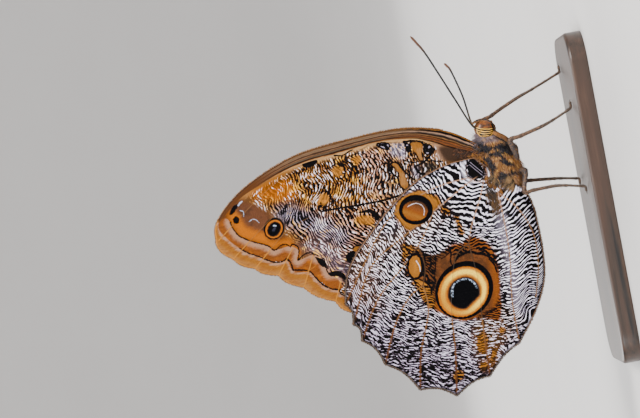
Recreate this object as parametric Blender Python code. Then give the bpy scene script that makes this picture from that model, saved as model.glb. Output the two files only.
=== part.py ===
"""An owl butterfly at rest, its wings closed over its back, standing on a plain flat base.

The frame: +X is forward (the head), +Z is up (the wings), and the insect's right side faces -Y.
The origin is the middle of the base's underside. Sizes are in millimetres here, and each mesh is
made in metres.

Both wings of a side are laid out from one hinge point as (angle, reach) pairs: the angle in degrees
from straight up, positive forward, and the reach in millimetres. The body is laid out in the plane
of symmetry as (x, z, half width, half height).
"""

import math

import bmesh
import bpy
from mathutils import Matrix, Vector
from mathutils.geometry import delaunay_2d_cdt

MM = 0.001
GAP = 0.3  # left between pieces that touch

# The base
BASE_LENGTH = 92.0
BASE_WIDTH = 46.0
BASE_HEIGHT = 5.0
BASE_CORNER = 9.0
BASE_EDGE = 0.8

# Where the insect stands on it
SOLE = BASE_HEIGHT + GAP
ANKLE = 0.4  # height of a foot's centre line above its sole
STANCE = SOLE + ANKLE  # level that the body's and legs' heights are measured from

# Wings
HINGE = Vector((17.1, 24.75 + STANCE))
MEMBRANE = 0.5
RIDGE_OUTSIDE = 0.22
RIDGE_INSIDE = 0.12
RIDGE_HALF_WIDTH = 0.42
RIDGE_END = 0.9  # from a vein's tip to the wing's edge
WING_STEP = 2.6
VEIN_STEP = 4.2
LATTICE = 6.4
FINE_LATTICE = 2.7
FINE_REACH = 20.0

FOREWING_COSTA = (
    (55, 2.3), (52.6, 5.9), (40, 14), (27.5, 25), (17, 38.6), (9.9, 54.1), (2.5, 68.4), (-3.4, 77.2),
)
FOREWING_TIPS = (
    (-7.6, 79.2), (-11.8, 76.2), (-15.6, 71.7), (-19.5, 66.9), (-25.4, 62.7), (-33.5, 58.4), (-39.7, 57),
)
FOREWING_INNER = ((-46, 40), (-56, 22), (-72, 10), (-100, 5.5))
FOREWING_LOBE = 0.9  # how far its edge bulges between two vein tips

HINDWING_COSTA = (
    (0.8, 3.8), (-2.9, 12), (-9.8, 21), (-17.6, 30.1), (-23.1, 38.6), (-27.2, 46.7), (-31.3, 52.5),
)
HINDWING_TIPS = (
    (-36, 57.2), (-41.3, 60), (-45.6, 62.2), (-53.6, 64.7), (-63.6, 67.8), (-72.4, 67.4), (-80.3, 61.4),
    (-89.3, 53),
)
HINDWING_INNER = (
    (-96.8, 45.3), (-104.1, 38.1), (-109.9, 30.7), (-116.6, 23.2), (-122.3, 18.7), (-127.9, 14),
)
HINDWING_ROOT = ((-122, 9.5), (-110, 6.5), (-70, 3.0))
HINDWING_NOTCH = 1.2  # how far its edge dips between two vein tips

FOREWING_VEINS = {
    "subcosta": ((47, 6.5), (32.5, 15.5), (23.2, 26), (14.6, 39), (8, 54), (2, 66)),
    "radius": (
        (30, 4), (24, 12), (19.5, 22), (15.8, 32.6), (11, 42), (6.2, 54), (-0.5, 65), (-7.6, 79.2),
    ),
    "first_medial": ((15.8, 32.6), (8.7, 39.5), (-1.3, 54.3), (-6, 62.7), (-11.8, 76.2)),
    "cell_end": ((9.6, 38.5), (2, 41.5), (-8.4, 48.2)),
    "cubital": ((-25, 8), (-18, 16), (-14.9, 23.7), (-11.2, 37), (-8.4, 48.2)),
    "second_medial": ((-8.4, 48.2), (-10.2, 59), (-15.6, 71.7)),
    "third_medial": ((-8.4, 48.2), (-13.8, 57.6), (-19.5, 66.9)),
    "first_cubital": ((-9.7, 42.8), (-17.2, 53), (-25.4, 62.7)),
    "second_cubital": ((-12.6, 31.5), (-23, 45), (-33.5, 58.4)),
    "anal": ((-42, 9), (-37, 24), (-36.5, 42), (-39.7, 57)),
}
HINDWING_VEINS = {
    "subcosta": ((-40.6, 8.2), (-25.5, 13.1), (-21, 18.8), (-21, 28.1), (-25.3, 36.6), (-36, 57.2)),
    "radial_stem": ((-55, 6.5), (-43.3, 10.3), (-37.8, 17.2), (-34, 31.5), (-33.6, 45), (-41.3, 60)),
    "first_medial": ((-36.3, 22), (-41.5, 29), (-42.7, 36), (-42.4, 50), (-45.6, 62.2)),
    "cell_end": ((-42, 31.5), (-50.5, 35.5), (-53.3, 40.2)),
    "second_medial": ((-53.3, 40.2), (-50.8, 45.5), (-51.2, 54), (-53.6, 64.7)),
    "third_medial": ((-53.3, 40.2), (-58.9, 46.2), (-61, 57.6), (-63.6, 67.8)),
    "cubital_stem": ((-72, 5.5), (-69.8, 12.3), (-67.1, 19.6), (-67.7, 25.1)),
    "first_cubital": ((-67.7, 25.1), (-62.4, 30), (-66, 42.6), (-70.3, 55), (-72.4, 67.4)),
    "second_cubital": ((-67.7, 25.1), (-75.2, 34.6), (-78, 46.9), (-80.3, 61.4)),
    "first_anal": ((-95.5, 10.1), (-93.6, 20.6), (-91.8, 29.7), (-89.3, 40.8), (-89.3, 53)),
    "second_anal": ((-97, 11.2), (-108.9, 16.7), (-110, 25), (-104.6, 33.4), (-98.5, 41.5)),
}

# How far the wings stand off the plane of symmetry
WING_CLEAR = 0.55
ROOT_SPREAD = 2.3
ROOT_FADE = 11.0
LAYER = 1.16  # from the inside of a forewing to the inside of the hindwing over it
FLAP_SWELL = 2.25
FLAP_HALF_HEIGHT = 3.7
FLAP_LENGTH = 36.0

# Body, with heights above the stance
THORAX = (
    (5.6, 19.3, 2.5, 2.9),
    (6.6, 19.7, 3.3, 3.8),
    (8.6, 20.5, 4.2, 4.9),
    (11.2, 21.5, 4.6, 5.5),
    (14.2, 22.4, 4.7, 5.5),
    (17.2, 23.0, 4.5, 5.0),
    (19.6, 23.5, 3.8, 4.6),
    (21.2, 23.7, 3.0, 3.9),
    (22.2, 23.8, 2.2, 3.0),
)
HEAD = (
    (21.9, 23.1, 1.6, 1.9),
    (23.3, 23.5, 2.3, 2.7),
    (24.5, 24.0, 2.5, 3.0),
    (25.5, 24.5, 2.2, 2.7),
    (26.4, 24.8, 1.4, 1.8),
    (26.8, 24.9, 0.5, 0.7),
)
ABDOMEN_FRONT = Vector((6.4, 19.25))
ABDOMEN_TIP = Vector((-21.9, 20.1))
ABDOMEN_HALF_WIDTH = 3.1
ABDOMEN_HALF_HEIGHT = 3.3
ABDOMEN_SEGMENTS = 8
SEGMENT_GROOVE = 0.05  # depth of the groove between segments, as a share of the size there
BODY_SIDES = 20
ABDOMEN_SIDES = 16
SQUARENESS = 2.3  # exponent of the body's cross-section, 2 being an ellipse

EYE_CENTRE = Vector((24.1, -1.9, 23.6 + STANCE))
EYE_RADII = Vector((2.35, 1.45, 2.1))
EYE_TILT = math.radians(16)
EYE_SEGMENTS = 20
EYE_RINGS = 12

# Tubes: each point is (x, y, z above the stance, radius), on the right side unless a side is named
PALP = (
    (23.3, -0.95, 22.3, 0.55), (23.7, -1.1, 20.7, 0.6), (25.6, -1.15, 20.4, 0.65),
    (27.6, -1.15, 22.2, 0.6), (28.3, -1.05, 24.6, 0.5), (28.0, -0.95, 27.2, 0.3),
)
FORELEG = (
    (20.4, -1.6, 21.0, 0.5), (21.9, -2.3, 19.2, 0.5), (21.2, -2.7, 17.6, 0.45),
    (19.4, -2.7, 16.9, 0.4), (17.9, -2.3, 16.3, 0.3),
)
MIDLEG_RIGHT = (
    (13.6, -1.8, 19.4, 0.75), (15.0, -3.6, 16.0, 0.8), (19.9, -5.4, 17.8, 0.7),
    (20.6, -5.9, 14.9, 0.55), (22.1, -6.6, 8.8, 0.55), (23.2, -7.0, 5.6, 0.42),
    (25.2, -7.6, 0.9, 0.4), (26.0, -7.8, 0.0, 0.42), (27.3, -8.0, 0.0, 0.42),
)
MIDLEG_LEFT = (
    (15.0, 1.8, 19.4, 0.75), (17.8, 4.6, 16.4, 0.8), (25.9, 6.6, 23.6, 0.7),
    (27.9, 7.1, 20.9, 0.55), (31.2, 7.9, 13.6, 0.55), (33.0, 8.3, 8.6, 0.42),
    (36.0, 8.9, 0.9, 0.4), (36.8, 9.1, 0.0, 0.42), (38.1, 9.3, 0.0, 0.42),
)
HINDLEG_RIGHT = (
    (10.2, -1.6, 18.6, 0.75), (10.9, -4.2, 15.4, 0.75), (5.3, -5.9, 16.6, 0.65),
    (5.2, -6.3, 14.2, 0.52), (5.3, -7.0, 8.6, 0.52), (4.9, -7.4, 5.4, 0.42),
    (3.9, -8.0, 0.9, 0.4), (3.5, -8.2, 0.0, 0.42), (2.3, -8.4, 0.0, 0.42),
)
HINDLEG_LEFT = (
    (10.4, 1.6, 18.6, 0.75), (10.8, 4.4, 15.2, 0.75), (8.2, 6.4, 16.0, 0.65),
    (8.0, 6.7, 13.6, 0.52), (7.4, 7.2, 8.2, 0.52), (7.0, 7.6, 5.2, 0.42),
    (6.2, 8.2, 0.9, 0.4), (5.8, 8.4, 0.0, 0.42), (4.6, 8.7, 0.0, 0.42),
)
ANTENNA_RIGHT = (
    (24.6, -0.8, 25.6, 0.3), (26.4, -1.3, 27.6, 0.3), (34.6, -3.4, 31.1, 0.28),
    (47.1, -6.2, 36.4, 0.28), (51.0, -7.0, 38.6, 0.34), (53.2, -7.3, 40.0, 0.22),
)
ANTENNA_LEFT = (
    (24.6, 0.8, 25.6, 0.3), (26.6, 2.0, 27.2, 0.3), (34.6, 9.6, 27.9, 0.28),
    (42.4, 18.4, 29.4, 0.28), (44.3, 21.4, 30.2, 0.34), (45.2, 23.4, 30.7, 0.22),
)
TUBE_SIDES = 8
LEG_STEP = 1.5
ANTENNA_STEP = 2.2
PALP_STEP = 0.9

PROBOSCIS_CENTRE = Vector((25.5, 0.0, 21.6 + STANCE - 1.7))
PROBOSCIS_RADIUS = 0.95
PROBOSCIS_THICKNESS = 0.55
PROBOSCIS_SIDES = 20

COLOURS = {
    "wing_grey": ((0.42, 0.37, 0.33), 0.85),
    "wing_ochre": ((0.48, 0.27, 0.11), 0.85),
    "body_brown": ((0.16, 0.11, 0.08), 0.9),
    "leg_brown": ((0.30, 0.22, 0.17), 0.7),
    "antenna_brown": ((0.07, 0.05, 0.04), 0.6),
    "eye_amber": ((0.45, 0.22, 0.06), 0.25),
    "palp_tan": ((0.50, 0.33, 0.18), 0.85),
    "base_walnut": ((0.10, 0.055, 0.03), 0.45),
}


def clear_scene():
    for obj in list(bpy.data.objects):
        bpy.data.objects.remove(obj, do_unlink=True)


def material(name):
    colour, roughness = COLOURS[name]
    made = bpy.data.materials.get(name)
    if made is None:
        made = bpy.data.materials.new(name)
        made.use_nodes = True
        shader = made.node_tree.nodes["Principled BSDF"]
        shader.inputs["Base Color"].default_value = (*colour, 1.0)
        shader.inputs["Roughness"].default_value = roughness
        shader.inputs["Metallic"].default_value = 0.0
    return made


def add_object(name, points, faces, finish=None):
    """A mesh object from points in millimetres. Without a finish it is a cutter, and isn't rendered."""
    mesh = bpy.data.meshes.new(name)
    mesh.from_pydata([Vector(point) * MM for point in points], [], faces)
    shape = bmesh.new()
    shape.from_mesh(mesh)
    bmesh.ops.recalc_face_normals(shape, faces=shape.faces)
    bmesh.ops.triangulate(shape, faces=[face for face in shape.faces if len(face.verts) > 4])
    shape.to_mesh(mesh)
    shape.free()
    obj = bpy.data.objects.new(name, mesh)
    bpy.context.scene.collection.objects.link(obj)
    if finish is None:
        obj.hide_render = True
        obj.display_type = "WIRE"
    else:
        mesh.materials.append(material(finish))
        mesh.shade_smooth()
    return obj


def cut(obj, cutter):
    """Cuts one object clear of another."""
    modifier = obj.modifiers.new("clear_of_" + cutter.name, "BOOLEAN")
    modifier.operation = "DIFFERENCE"
    modifier.solver = "EXACT"
    modifier.object = cutter


def mirrored(points):
    return [(x, -y, z) for x, y, z in points]


def curve_point(before, start, end, after, share):
    """A point on the smooth curve from start to end that also heeds its neighbours."""
    return 0.5 * (
        2 * start
        + (end - before) * share
        + (2 * before - 5 * start + 4 * end - after) * share**2
        + (3 * start - before - 3 * end + after) * share**3
    )


def smooth_run(points, step):
    """The points of a smooth curve through the given ones, about a step apart."""
    ends = [2 * points[0] - points[1], *points, 2 * points[-1] - points[-2]]
    run = []
    for i in range(1, len(ends) - 2):
        count = max(1, round((ends[i + 1] - ends[i]).length / step))
        run += [curve_point(*ends[i - 1 : i + 3], share / count) for share in range(count)]
    return run + [points[-1]]


def wing_point(angle, reach):
    turn = math.radians(angle)
    return HINGE + Vector((math.sin(turn), math.cos(turn))) * reach


def wing_run(pairs, step):
    return smooth_run([wing_point(*pair) for pair in pairs], step)


def scalloped_run(tips, depth):
    """The edge through the vein tips, which dips towards the hinge between them, or else bulges."""
    run = []
    for first, second in zip(tips, tips[1:]):
        start = wing_point(*first)
        end = wing_point(*second)
        count = max(2, round((end - start).length / WING_STEP))
        inward = (HINGE - (start + end) / 2).normalized()
        for i in range(count):
            share = i / count
            run.append(start.lerp(end, share) + inward * depth * math.sin(math.pi * share))
    return run + [wing_point(*tips[-1])]


def forewing_outline():
    costa = wing_run(FOREWING_COSTA + FOREWING_TIPS[:1], WING_STEP)
    edge = scalloped_run(FOREWING_TIPS, -FOREWING_LOBE)
    inner = wing_run(FOREWING_TIPS[-1:] + FOREWING_INNER, 2 * WING_STEP)
    return costa[:-1] + edge[:-1] + inner


def hindwing_outline():
    costa = wing_run(HINDWING_COSTA + HINDWING_TIPS[:1], WING_STEP)
    edge = scalloped_run(HINDWING_TIPS, HINDWING_NOTCH)
    inner = wing_run(HINDWING_TIPS[-1:] + HINDWING_INNER, WING_STEP)
    root = wing_run(HINDWING_ROOT, WING_STEP)
    return costa[:-1] + edge[:-1] + inner + root


def forewing_stand_off(point):
    """How far the inside of the forewing is from the plane of symmetry."""
    reach = (point - HINGE).length
    return WING_CLEAR + ROOT_SPREAD * math.exp(-((reach / ROOT_FADE) ** 2))


def hindwing_stand_off(point):
    """As for the forewing, but outside it, and swelling round the abdomen."""
    along = (ABDOMEN_FRONT.x - point.x) / FLAP_LENGTH
    axis = ABDOMEN_FRONT.y + STANCE + along * (ABDOMEN_TIP.y - ABDOMEN_FRONT.y)
    across = math.exp(-(((point.y - axis) / FLAP_HALF_HEIGHT) ** 2))
    length = 1 / (1 + math.exp((along - 0.8) * 9))
    plain = forewing_stand_off(point) + LAYER
    swell = max(0.0, FLAP_SWELL - (plain - WING_CLEAR - LAYER))
    return plain + swell * across * length


def distance_to_run(point, run):
    return min(distance_to_stretch(point, a, b) for a, b in zip(run, run[1:]))


def distance_to_stretch(point, start, end):
    along = end - start
    share = max(0.0, min(1.0, (point - start).dot(along) / along.length_squared))
    return (point - start - along * share).length


def inside(point, outline):
    crossings = 0
    for a, b in zip(outline, outline[1:] + outline[:1]):
        if (a.y > point.y) != (b.y > point.y):
            crossings += point.x < a.x + (point.y - a.y) * (b.x - a.x) / (b.y - a.y)
    return crossings % 2 == 1


def vein_lines(veins, outline):
    """Each vein as its crest, stopped short of the wing's edge."""
    closed = outline + outline[:1]
    lines = []
    for pairs in veins.values():
        run = wing_run(pairs, VEIN_STEP)
        kept = [p for p in run if inside(p, outline) and distance_to_run(p, closed) > RIDGE_END]
        rest = run[-1] - kept[-1]
        if rest.length > 2 * RIDGE_END:
            kept.append(kept[-1] + rest * (1 - RIDGE_END / rest.length))
        lines.append(kept)
    return lines


def flanks(crest):
    """The two feet of a ridge, either side of its crest."""
    sides = ([], [])
    for i, point in enumerate(crest):
        along = (crest[min(i + 1, len(crest) - 1)] - crest[max(i - 1, 0)]).normalized()
        across = Vector((-along.y, along.x)) * RIDGE_HALF_WIDTH
        if 0 < i < len(crest) - 1:
            sides[0].append(point + across)
            sides[1].append(point - across)
    return sides


def lattice(outline, lines):
    """Points inside the wing and clear of its lines, closer together near the body, where it bends."""
    closed = outline + outline[:1]
    found = []
    for spacing in (FINE_LATTICE, LATTICE):
        for row in range(-60, 60):
            for column in range(-60, 60):
                offset = Vector((column + 0.5 * (row % 2), row * math.sqrt(0.75))) * spacing
                point = HINGE + offset
                near = point.y < HINGE.y + 3 or offset.length < FINE_REACH
                if near != (spacing == FINE_LATTICE) or not inside(point, outline):
                    continue
                if min(distance_to_run(point, line) for line in [closed, *lines]) > 0.45 * spacing:
                    found.append(point)
    return found


def wing_plan(outline, lines):
    """The wing's triangles in its own plane, with an edge along every ridge's crest and feet."""
    points = list(outline)
    edges = []
    for line in lines:
        for run in (line, *flanks(line)):
            start = len(points)
            points += run
            edges += [(i, i + 1) for i in range(start, len(points) - 1)]
    points += lattice(outline, lines)
    plan = delaunay_2d_cdt(points, edges, [list(range(len(outline)))], 1, 1e-3)
    return plan[0], [tuple(face) for face in plan[2]]


def slope(stand_off, point):
    """How much thicker a bent membrane measures along Y than across itself."""
    step = 0.2
    dx = (stand_off(point + Vector((step, 0))) - stand_off(point - Vector((step, 0)))) / (2 * step)
    dz = (stand_off(point + Vector((0, step))) - stand_off(point - Vector((0, step)))) / (2 * step)
    return math.sqrt(1 + dx * dx + dz * dz)


def wing_solid(name, outline, veins, stand_off, finish, side):
    """A membrane with its veins raised on both faces, from the same triangles on each."""
    lines = vein_lines(veins, outline)
    plan, triangles = wing_plan(outline, lines)
    inner = []
    outer = []
    for point in plan:
        off = min((distance_to_run(point, line) for line in lines), default=RIDGE_HALF_WIDTH)
        rise = max(0.0, 1 - off / RIDGE_HALF_WIDTH)
        near = stand_off(point)
        thick = MEMBRANE * slope(stand_off, point)
        inner.append((point.x, side * (near - RIDGE_INSIDE * rise), point.y))
        outer.append((point.x, side * (near + thick + RIDGE_OUTSIDE * rise), point.y))
    count = len(plan)
    faces = list(triangles)
    faces += [tuple(i + count for i in reversed(face)) for face in triangles]
    sides = {(face[i], face[(i + 1) % 3]) for face in triangles for i in range(3)}
    faces += [(b, a, a + count, b + count) for a, b in sides if (b, a) not in sides]
    return add_object(name, inner + outer, faces, finish)


def body_ring(centre, along, half_width, half_height, sides):
    up = Vector((-along.y, along.x))
    ring = []
    for i in range(sides):
        turn = 2 * math.pi * i / sides
        across = math.copysign(abs(math.cos(turn)) ** (2 / SQUARENESS), math.cos(turn)) * half_width
        rise = math.copysign(abs(math.sin(turn)) ** (2 / SQUARENESS), math.sin(turn)) * half_height
        place = centre + up * rise
        ring.append((place.x, across, place.y + STANCE))
    return ring


def tube_faces(rows, sides):
    """The faces of a closed tube whose rings of points follow one another, caps first."""
    last = (rows - 1) * sides
    faces = [tuple(range(sides)), tuple(range(last, last + sides))]
    for row in range(rows - 1):
        first = row * sides
        second = first + sides
        for i in range(sides):
            j = (i + 1) % sides
            faces.append((first + i, first + j, second + j, second + i))
    return faces


def body_solid(name, stations, sides, finish=None, grow=0.0):
    """A closed form through its stations. Grown, it is the cutter that keeps others clear of it."""
    centres = [Vector(station[:2]) for station in stations]
    points = []
    last = len(stations) - 1
    for i, (centre, station) in enumerate(zip(centres, stations)):
        along = (centres[min(i + 1, last)] - centres[max(i - 1, 0)]).normalized()
        shift = along * grow * ((i == last) - (i == 0))
        points += body_ring(centre + shift, along, station[2] + grow, station[3] + grow, sides)
    return add_object(name, points, tube_faces(len(stations), sides), finish)


def abdomen_stations():
    """Segments with a groove between them, widest in the abdomen's middle and tapering to its tip."""
    stations = []
    for i in range(2 * ABDOMEN_SEGMENTS + 1):
        share = i / (2 * ABDOMEN_SEGMENTS)
        size = (0.78 + 0.9 * share - 1.05 * share**2) * (1 - share**5)
        size *= 1 if i % 2 else 1 - SEGMENT_GROOVE
        centre = ABDOMEN_FRONT.lerp(ABDOMEN_TIP, share)
        half_width = max(0.35, ABDOMEN_HALF_WIDTH * size)
        half_height = max(0.4, ABDOMEN_HALF_HEIGHT * size)
        stations.append((centre.x, centre.y, half_width, half_height))
    return stations


def eye_solid(name, side, finish=None, grow=0.0):
    shape = bmesh.new()
    bmesh.ops.create_uvsphere(shape, u_segments=EYE_SEGMENTS, v_segments=EYE_RINGS, radius=1.0)
    radii = EYE_RADII + Vector((grow, grow, grow))
    turn = Matrix.Rotation(-EYE_TILT, 3, "Y")
    points = [
        EYE_CENTRE + turn @ Vector(a * b for a, b in zip(vert.co, radii)) for vert in shape.verts
    ]
    faces = [tuple(vert.index for vert in face.verts) for face in shape.faces]
    shape.free()
    if side > 0:
        points = mirrored(points)
    return add_object(name, points, faces, finish)


def tube_solid(name, route, step, finish, floor=None):
    """A tapered tube along its route, flat underneath where it meets the floor."""
    run = smooth_run([Vector((x, y, z + STANCE, radius)) for x, y, z, radius in route], step)
    points = []
    last = len(run) - 1
    across = Vector((0, 1, 0))
    for i, stop in enumerate(run):
        along = (run[min(i + 1, last)].xyz - run[max(i - 1, 0)].xyz).normalized()
        across = (across - along * across.dot(along)).normalized()
        up = along.cross(across)
        for j in range(TUBE_SIDES):
            turn = 2 * math.pi * (j + 0.5) / TUBE_SIDES
            point = stop.xyz + (across * math.cos(turn) + up * math.sin(turn)) * stop.w
            if floor is not None:
                point.z = max(point.z, floor)
            points.append(tuple(point))
    return add_object(name, points, tube_faces(len(run), TUBE_SIDES), finish)


def base_solid():
    """A flat board with rounded corners and a softened top edge."""
    outline = []
    for sx, sy, start in ((1, 1, 0), (-1, 1, 90), (-1, -1, 180), (1, -1, 270)):
        centre = Vector((sx * (BASE_LENGTH / 2 - BASE_CORNER), sy * (BASE_WIDTH / 2 - BASE_CORNER)))
        for i in range(7):
            turn = math.radians(start + 15 * i)
            outline.append((centre, Vector((math.cos(turn), math.sin(turn)))))
    levels = (
        (0.0, 0.4),
        (0.4, 0.0),
        (BASE_HEIGHT - BASE_EDGE, 0.0),
        (BASE_HEIGHT - 0.3 * BASE_EDGE, 0.3 * BASE_EDGE),
        (BASE_HEIGHT, BASE_EDGE),
    )
    points = []
    for height, inset in levels:
        for centre, direction in outline:
            place = centre + direction * (BASE_CORNER - inset)
            points.append((place.x, place.y, height))
    return add_object("stand_base", points, tube_faces(len(levels), len(outline)), "base_walnut")


def proboscis_solid():
    """The tongue, coiled flat between the palps."""
    points = []
    rows = ((-0.5, 0.75), (-0.3, 1.0), (0.3, 1.0), (0.5, 0.75))
    for share, size in rows:
        for i in range(PROBOSCIS_SIDES):
            turn = 2 * math.pi * i / PROBOSCIS_SIDES
            points.append((
                PROBOSCIS_CENTRE.x + math.cos(turn) * PROBOSCIS_RADIUS * size,
                PROBOSCIS_THICKNESS * share,
                PROBOSCIS_CENTRE.z + math.sin(turn) * PROBOSCIS_RADIUS * size,
            ))
    faces = tube_faces(len(rows), PROBOSCIS_SIDES)
    return add_object("proboscis", points, faces, "antenna_brown")


def build_body():
    """Head, thorax and abdomen, and the cutters that keep what grows from them a gap away."""
    around_thorax = body_solid("around_thorax", THORAX, BODY_SIDES, grow=GAP)
    around_head = body_solid("around_head", HEAD, BODY_SIDES, grow=GAP)
    thorax = body_solid("thorax", THORAX, BODY_SIDES, "body_brown")
    head = body_solid("head", HEAD, BODY_SIDES, "body_brown")
    abdomen = body_solid("abdomen", abdomen_stations(), ABDOMEN_SIDES, "body_brown")
    cut(head, around_thorax)
    cut(abdomen, around_thorax)
    for word, side in (("right", -1), ("left", 1)):
        eye_solid("eye_" + word, side, "eye_amber")
        socket = eye_solid("socket_" + word, side, grow=GAP)
        cut(head, socket)
        cut(thorax, socket)
    proboscis_solid()
    return around_thorax, around_head


def build_wings(around_thorax):
    fore = (forewing_outline(), FOREWING_VEINS, forewing_stand_off, "wing_ochre")
    hind = (hindwing_outline(), HINDWING_VEINS, hindwing_stand_off, "wing_grey")
    for word, side in (("right", -1), ("left", 1)):
        cut(wing_solid("forewing_" + word, *fore, side), around_thorax)
        cut(wing_solid("hindwing_" + word, *hind, side), around_thorax)


def build_limbs(around_thorax, around_head):
    """Legs end in a flat sole. The front pair is the small brush feet, folded under the chest."""
    legs = (
        ("midleg_right", MIDLEG_RIGHT),
        ("midleg_left", MIDLEG_LEFT),
        ("hindleg_right", HINDLEG_RIGHT),
        ("hindleg_left", HINDLEG_LEFT),
    )
    for name, route in legs:
        cut(tube_solid(name, route, LEG_STEP, "leg_brown", SOLE), around_thorax)
    for word, side in (("right", 1), ("left", -1)):
        palp = [(x, side * y, z, radius) for x, y, z, radius in PALP]
        cut(tube_solid("palp_" + word, palp, PALP_STEP, "palp_tan"), around_head)
        foreleg = [(x, side * y, z, radius) for x, y, z, radius in FORELEG]
        cut(tube_solid("foreleg_" + word, foreleg, LEG_STEP, "leg_brown"), around_thorax)
    for name, route in (("antenna_right", ANTENNA_RIGHT), ("antenna_left", ANTENNA_LEFT)):
        cut(tube_solid(name, route, ANTENNA_STEP, "antenna_brown"), around_head)


def main():
    clear_scene()
    base_solid()
    around_thorax, around_head = build_body()
    build_wings(around_thorax)
    build_limbs(around_thorax, around_head)


main()
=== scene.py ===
"""The looks of a life-size owl butterfly at rest with closed wings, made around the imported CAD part.

Lengths are in millimetres until a mesh is made, and a mesh is in metres. +X is forward, +Z is up and
the insect's right side faces -Y. A place on a wing is (forward, up) from the hinge of its side.
Colours are written as they look on a screen and are turned into linear light where they are used.
"""

import math

import bpy
import numpy as np
from mathutils import Matrix, Vector
from mathutils.geometry import delaunay_2d_cdt


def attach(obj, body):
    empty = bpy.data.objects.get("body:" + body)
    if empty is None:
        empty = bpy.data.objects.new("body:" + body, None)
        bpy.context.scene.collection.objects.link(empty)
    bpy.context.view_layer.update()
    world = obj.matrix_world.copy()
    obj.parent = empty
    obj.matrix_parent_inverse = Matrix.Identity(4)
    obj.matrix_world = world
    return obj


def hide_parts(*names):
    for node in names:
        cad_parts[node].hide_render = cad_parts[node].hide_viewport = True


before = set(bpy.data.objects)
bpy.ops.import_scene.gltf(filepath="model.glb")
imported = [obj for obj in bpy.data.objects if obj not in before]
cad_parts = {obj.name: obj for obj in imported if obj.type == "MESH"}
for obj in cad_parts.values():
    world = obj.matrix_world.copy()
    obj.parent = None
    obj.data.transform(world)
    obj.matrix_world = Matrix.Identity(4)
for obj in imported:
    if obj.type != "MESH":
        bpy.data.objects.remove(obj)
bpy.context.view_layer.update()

MM = 0.001
SEED = 7

# The insect's stance, as in the solids
SOLE = 5.3
STANCE = 5.7
HINGE = np.array((17.1, 24.75 + STANCE))

# Camera: the photograph's scale at the wings, and where its middle and its roll are
PHOTO_WIDTH = 640
MM_PER_PIXEL = 0.2776
CAMERA_DISTANCE = 900.0
CAMERA_TARGET = (10.8, -2.0, 78.8)
CAMERA_ROLL = 100.47
SENSOR_WIDTH = 36.0

COLOURS = {
    "black": (0.03, 0.024, 0.028),
    "ink": (0.012, 0.012, 0.02),
    "umber": (0.199, 0.140, 0.103),
    "brown": (0.304, 0.176, 0.085),
    "red_brown": (0.341, 0.209, 0.135),
    "rust": (0.415, 0.234, 0.11),
    "gold": (0.53, 0.331, 0.11),
    "ochre": (0.586, 0.371, 0.118),
    "orange": (0.629, 0.335, 0.02),
    "amber": (0.464, 0.247, 0.08),
    "tan": (0.568, 0.384, 0.199),
    "sand": (0.697, 0.45, 0.151),
    "cream": (0.93, 0.705, 0.30),
    "yellow": (0.97, 0.80, 0.25),
    "pink": (0.704, 0.512, 0.414),
    "lilac": (0.425, 0.361, 0.424),
    "silver": (0.60, 0.56, 0.64),
    "pearl": (0.80, 0.76, 0.86),
    "bark": (0.456, 0.331, 0.237),
    "dusk": (0.60, 0.455, 0.36),
    "white": (0.97, 0.95, 1.0),
    "grey": (0.311, 0.267, 0.231),
    "slate": (0.157, 0.158, 0.209),
    "olive": (0.297, 0.27, 0.21),
    "vein": (0.472, 0.334, 0.196),
    "straw": (0.665, 0.51, 0.33),
    "drab": (0.33, 0.28, 0.217),
    "glint": (0.80, 0.88, 1.0),
    "walnut": (0.237, 0.158, 0.114),
    "walnut_light": (0.327, 0.235, 0.171),
    "studio": (0.84, 0.83, 0.82),
}


def linear(name):
    """A colour's linear values, with alpha."""
    values = [c / 12.92 if c <= 0.04045 else ((c + 0.055) / 1.055) ** 2.4 for c in COLOURS[name]]
    return (*values, 1.0)


# Wings: the outlines and veins of the solids as (angle, reach)
FOREWING_COSTA = (
    (55, 2.3), (52.6, 5.9), (40, 14), (27.5, 25), (17, 38.6), (9.9, 54.1), (2.5, 68.4), (-3.4, 77.2),
)
FOREWING_TIPS = (
    (-7.6, 79.2), (-11.8, 76.2), (-15.6, 71.7), (-19.5, 66.9), (-25.4, 62.7), (-33.5, 58.4), (-39.7, 57),
)
FOREWING_INNER = ((-46, 40), (-56, 22), (-72, 10), (-100, 5.5))
FOREWING_LOBE = 0.9
HINDWING_COSTA = (
    (0.8, 3.8), (-2.9, 12), (-9.8, 21), (-17.6, 30.1), (-23.1, 38.6), (-27.2, 46.7), (-31.3, 52.5),
)
HINDWING_TIPS = (
    (-36, 57.2), (-41.3, 60), (-45.6, 62.2), (-53.6, 64.7), (-63.6, 67.8), (-72.4, 67.4), (-80.3, 61.4),
    (-89.3, 53),
)
HINDWING_INNER = (
    (-96.8, 45.3), (-104.1, 38.1), (-109.9, 30.7), (-116.6, 23.2), (-122.3, 18.7), (-127.9, 14),
)
HINDWING_ROOT = ((-122, 9.5), (-110, 6.5), (-70, 3.0))
HINDWING_NOTCH = 1.2

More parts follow.
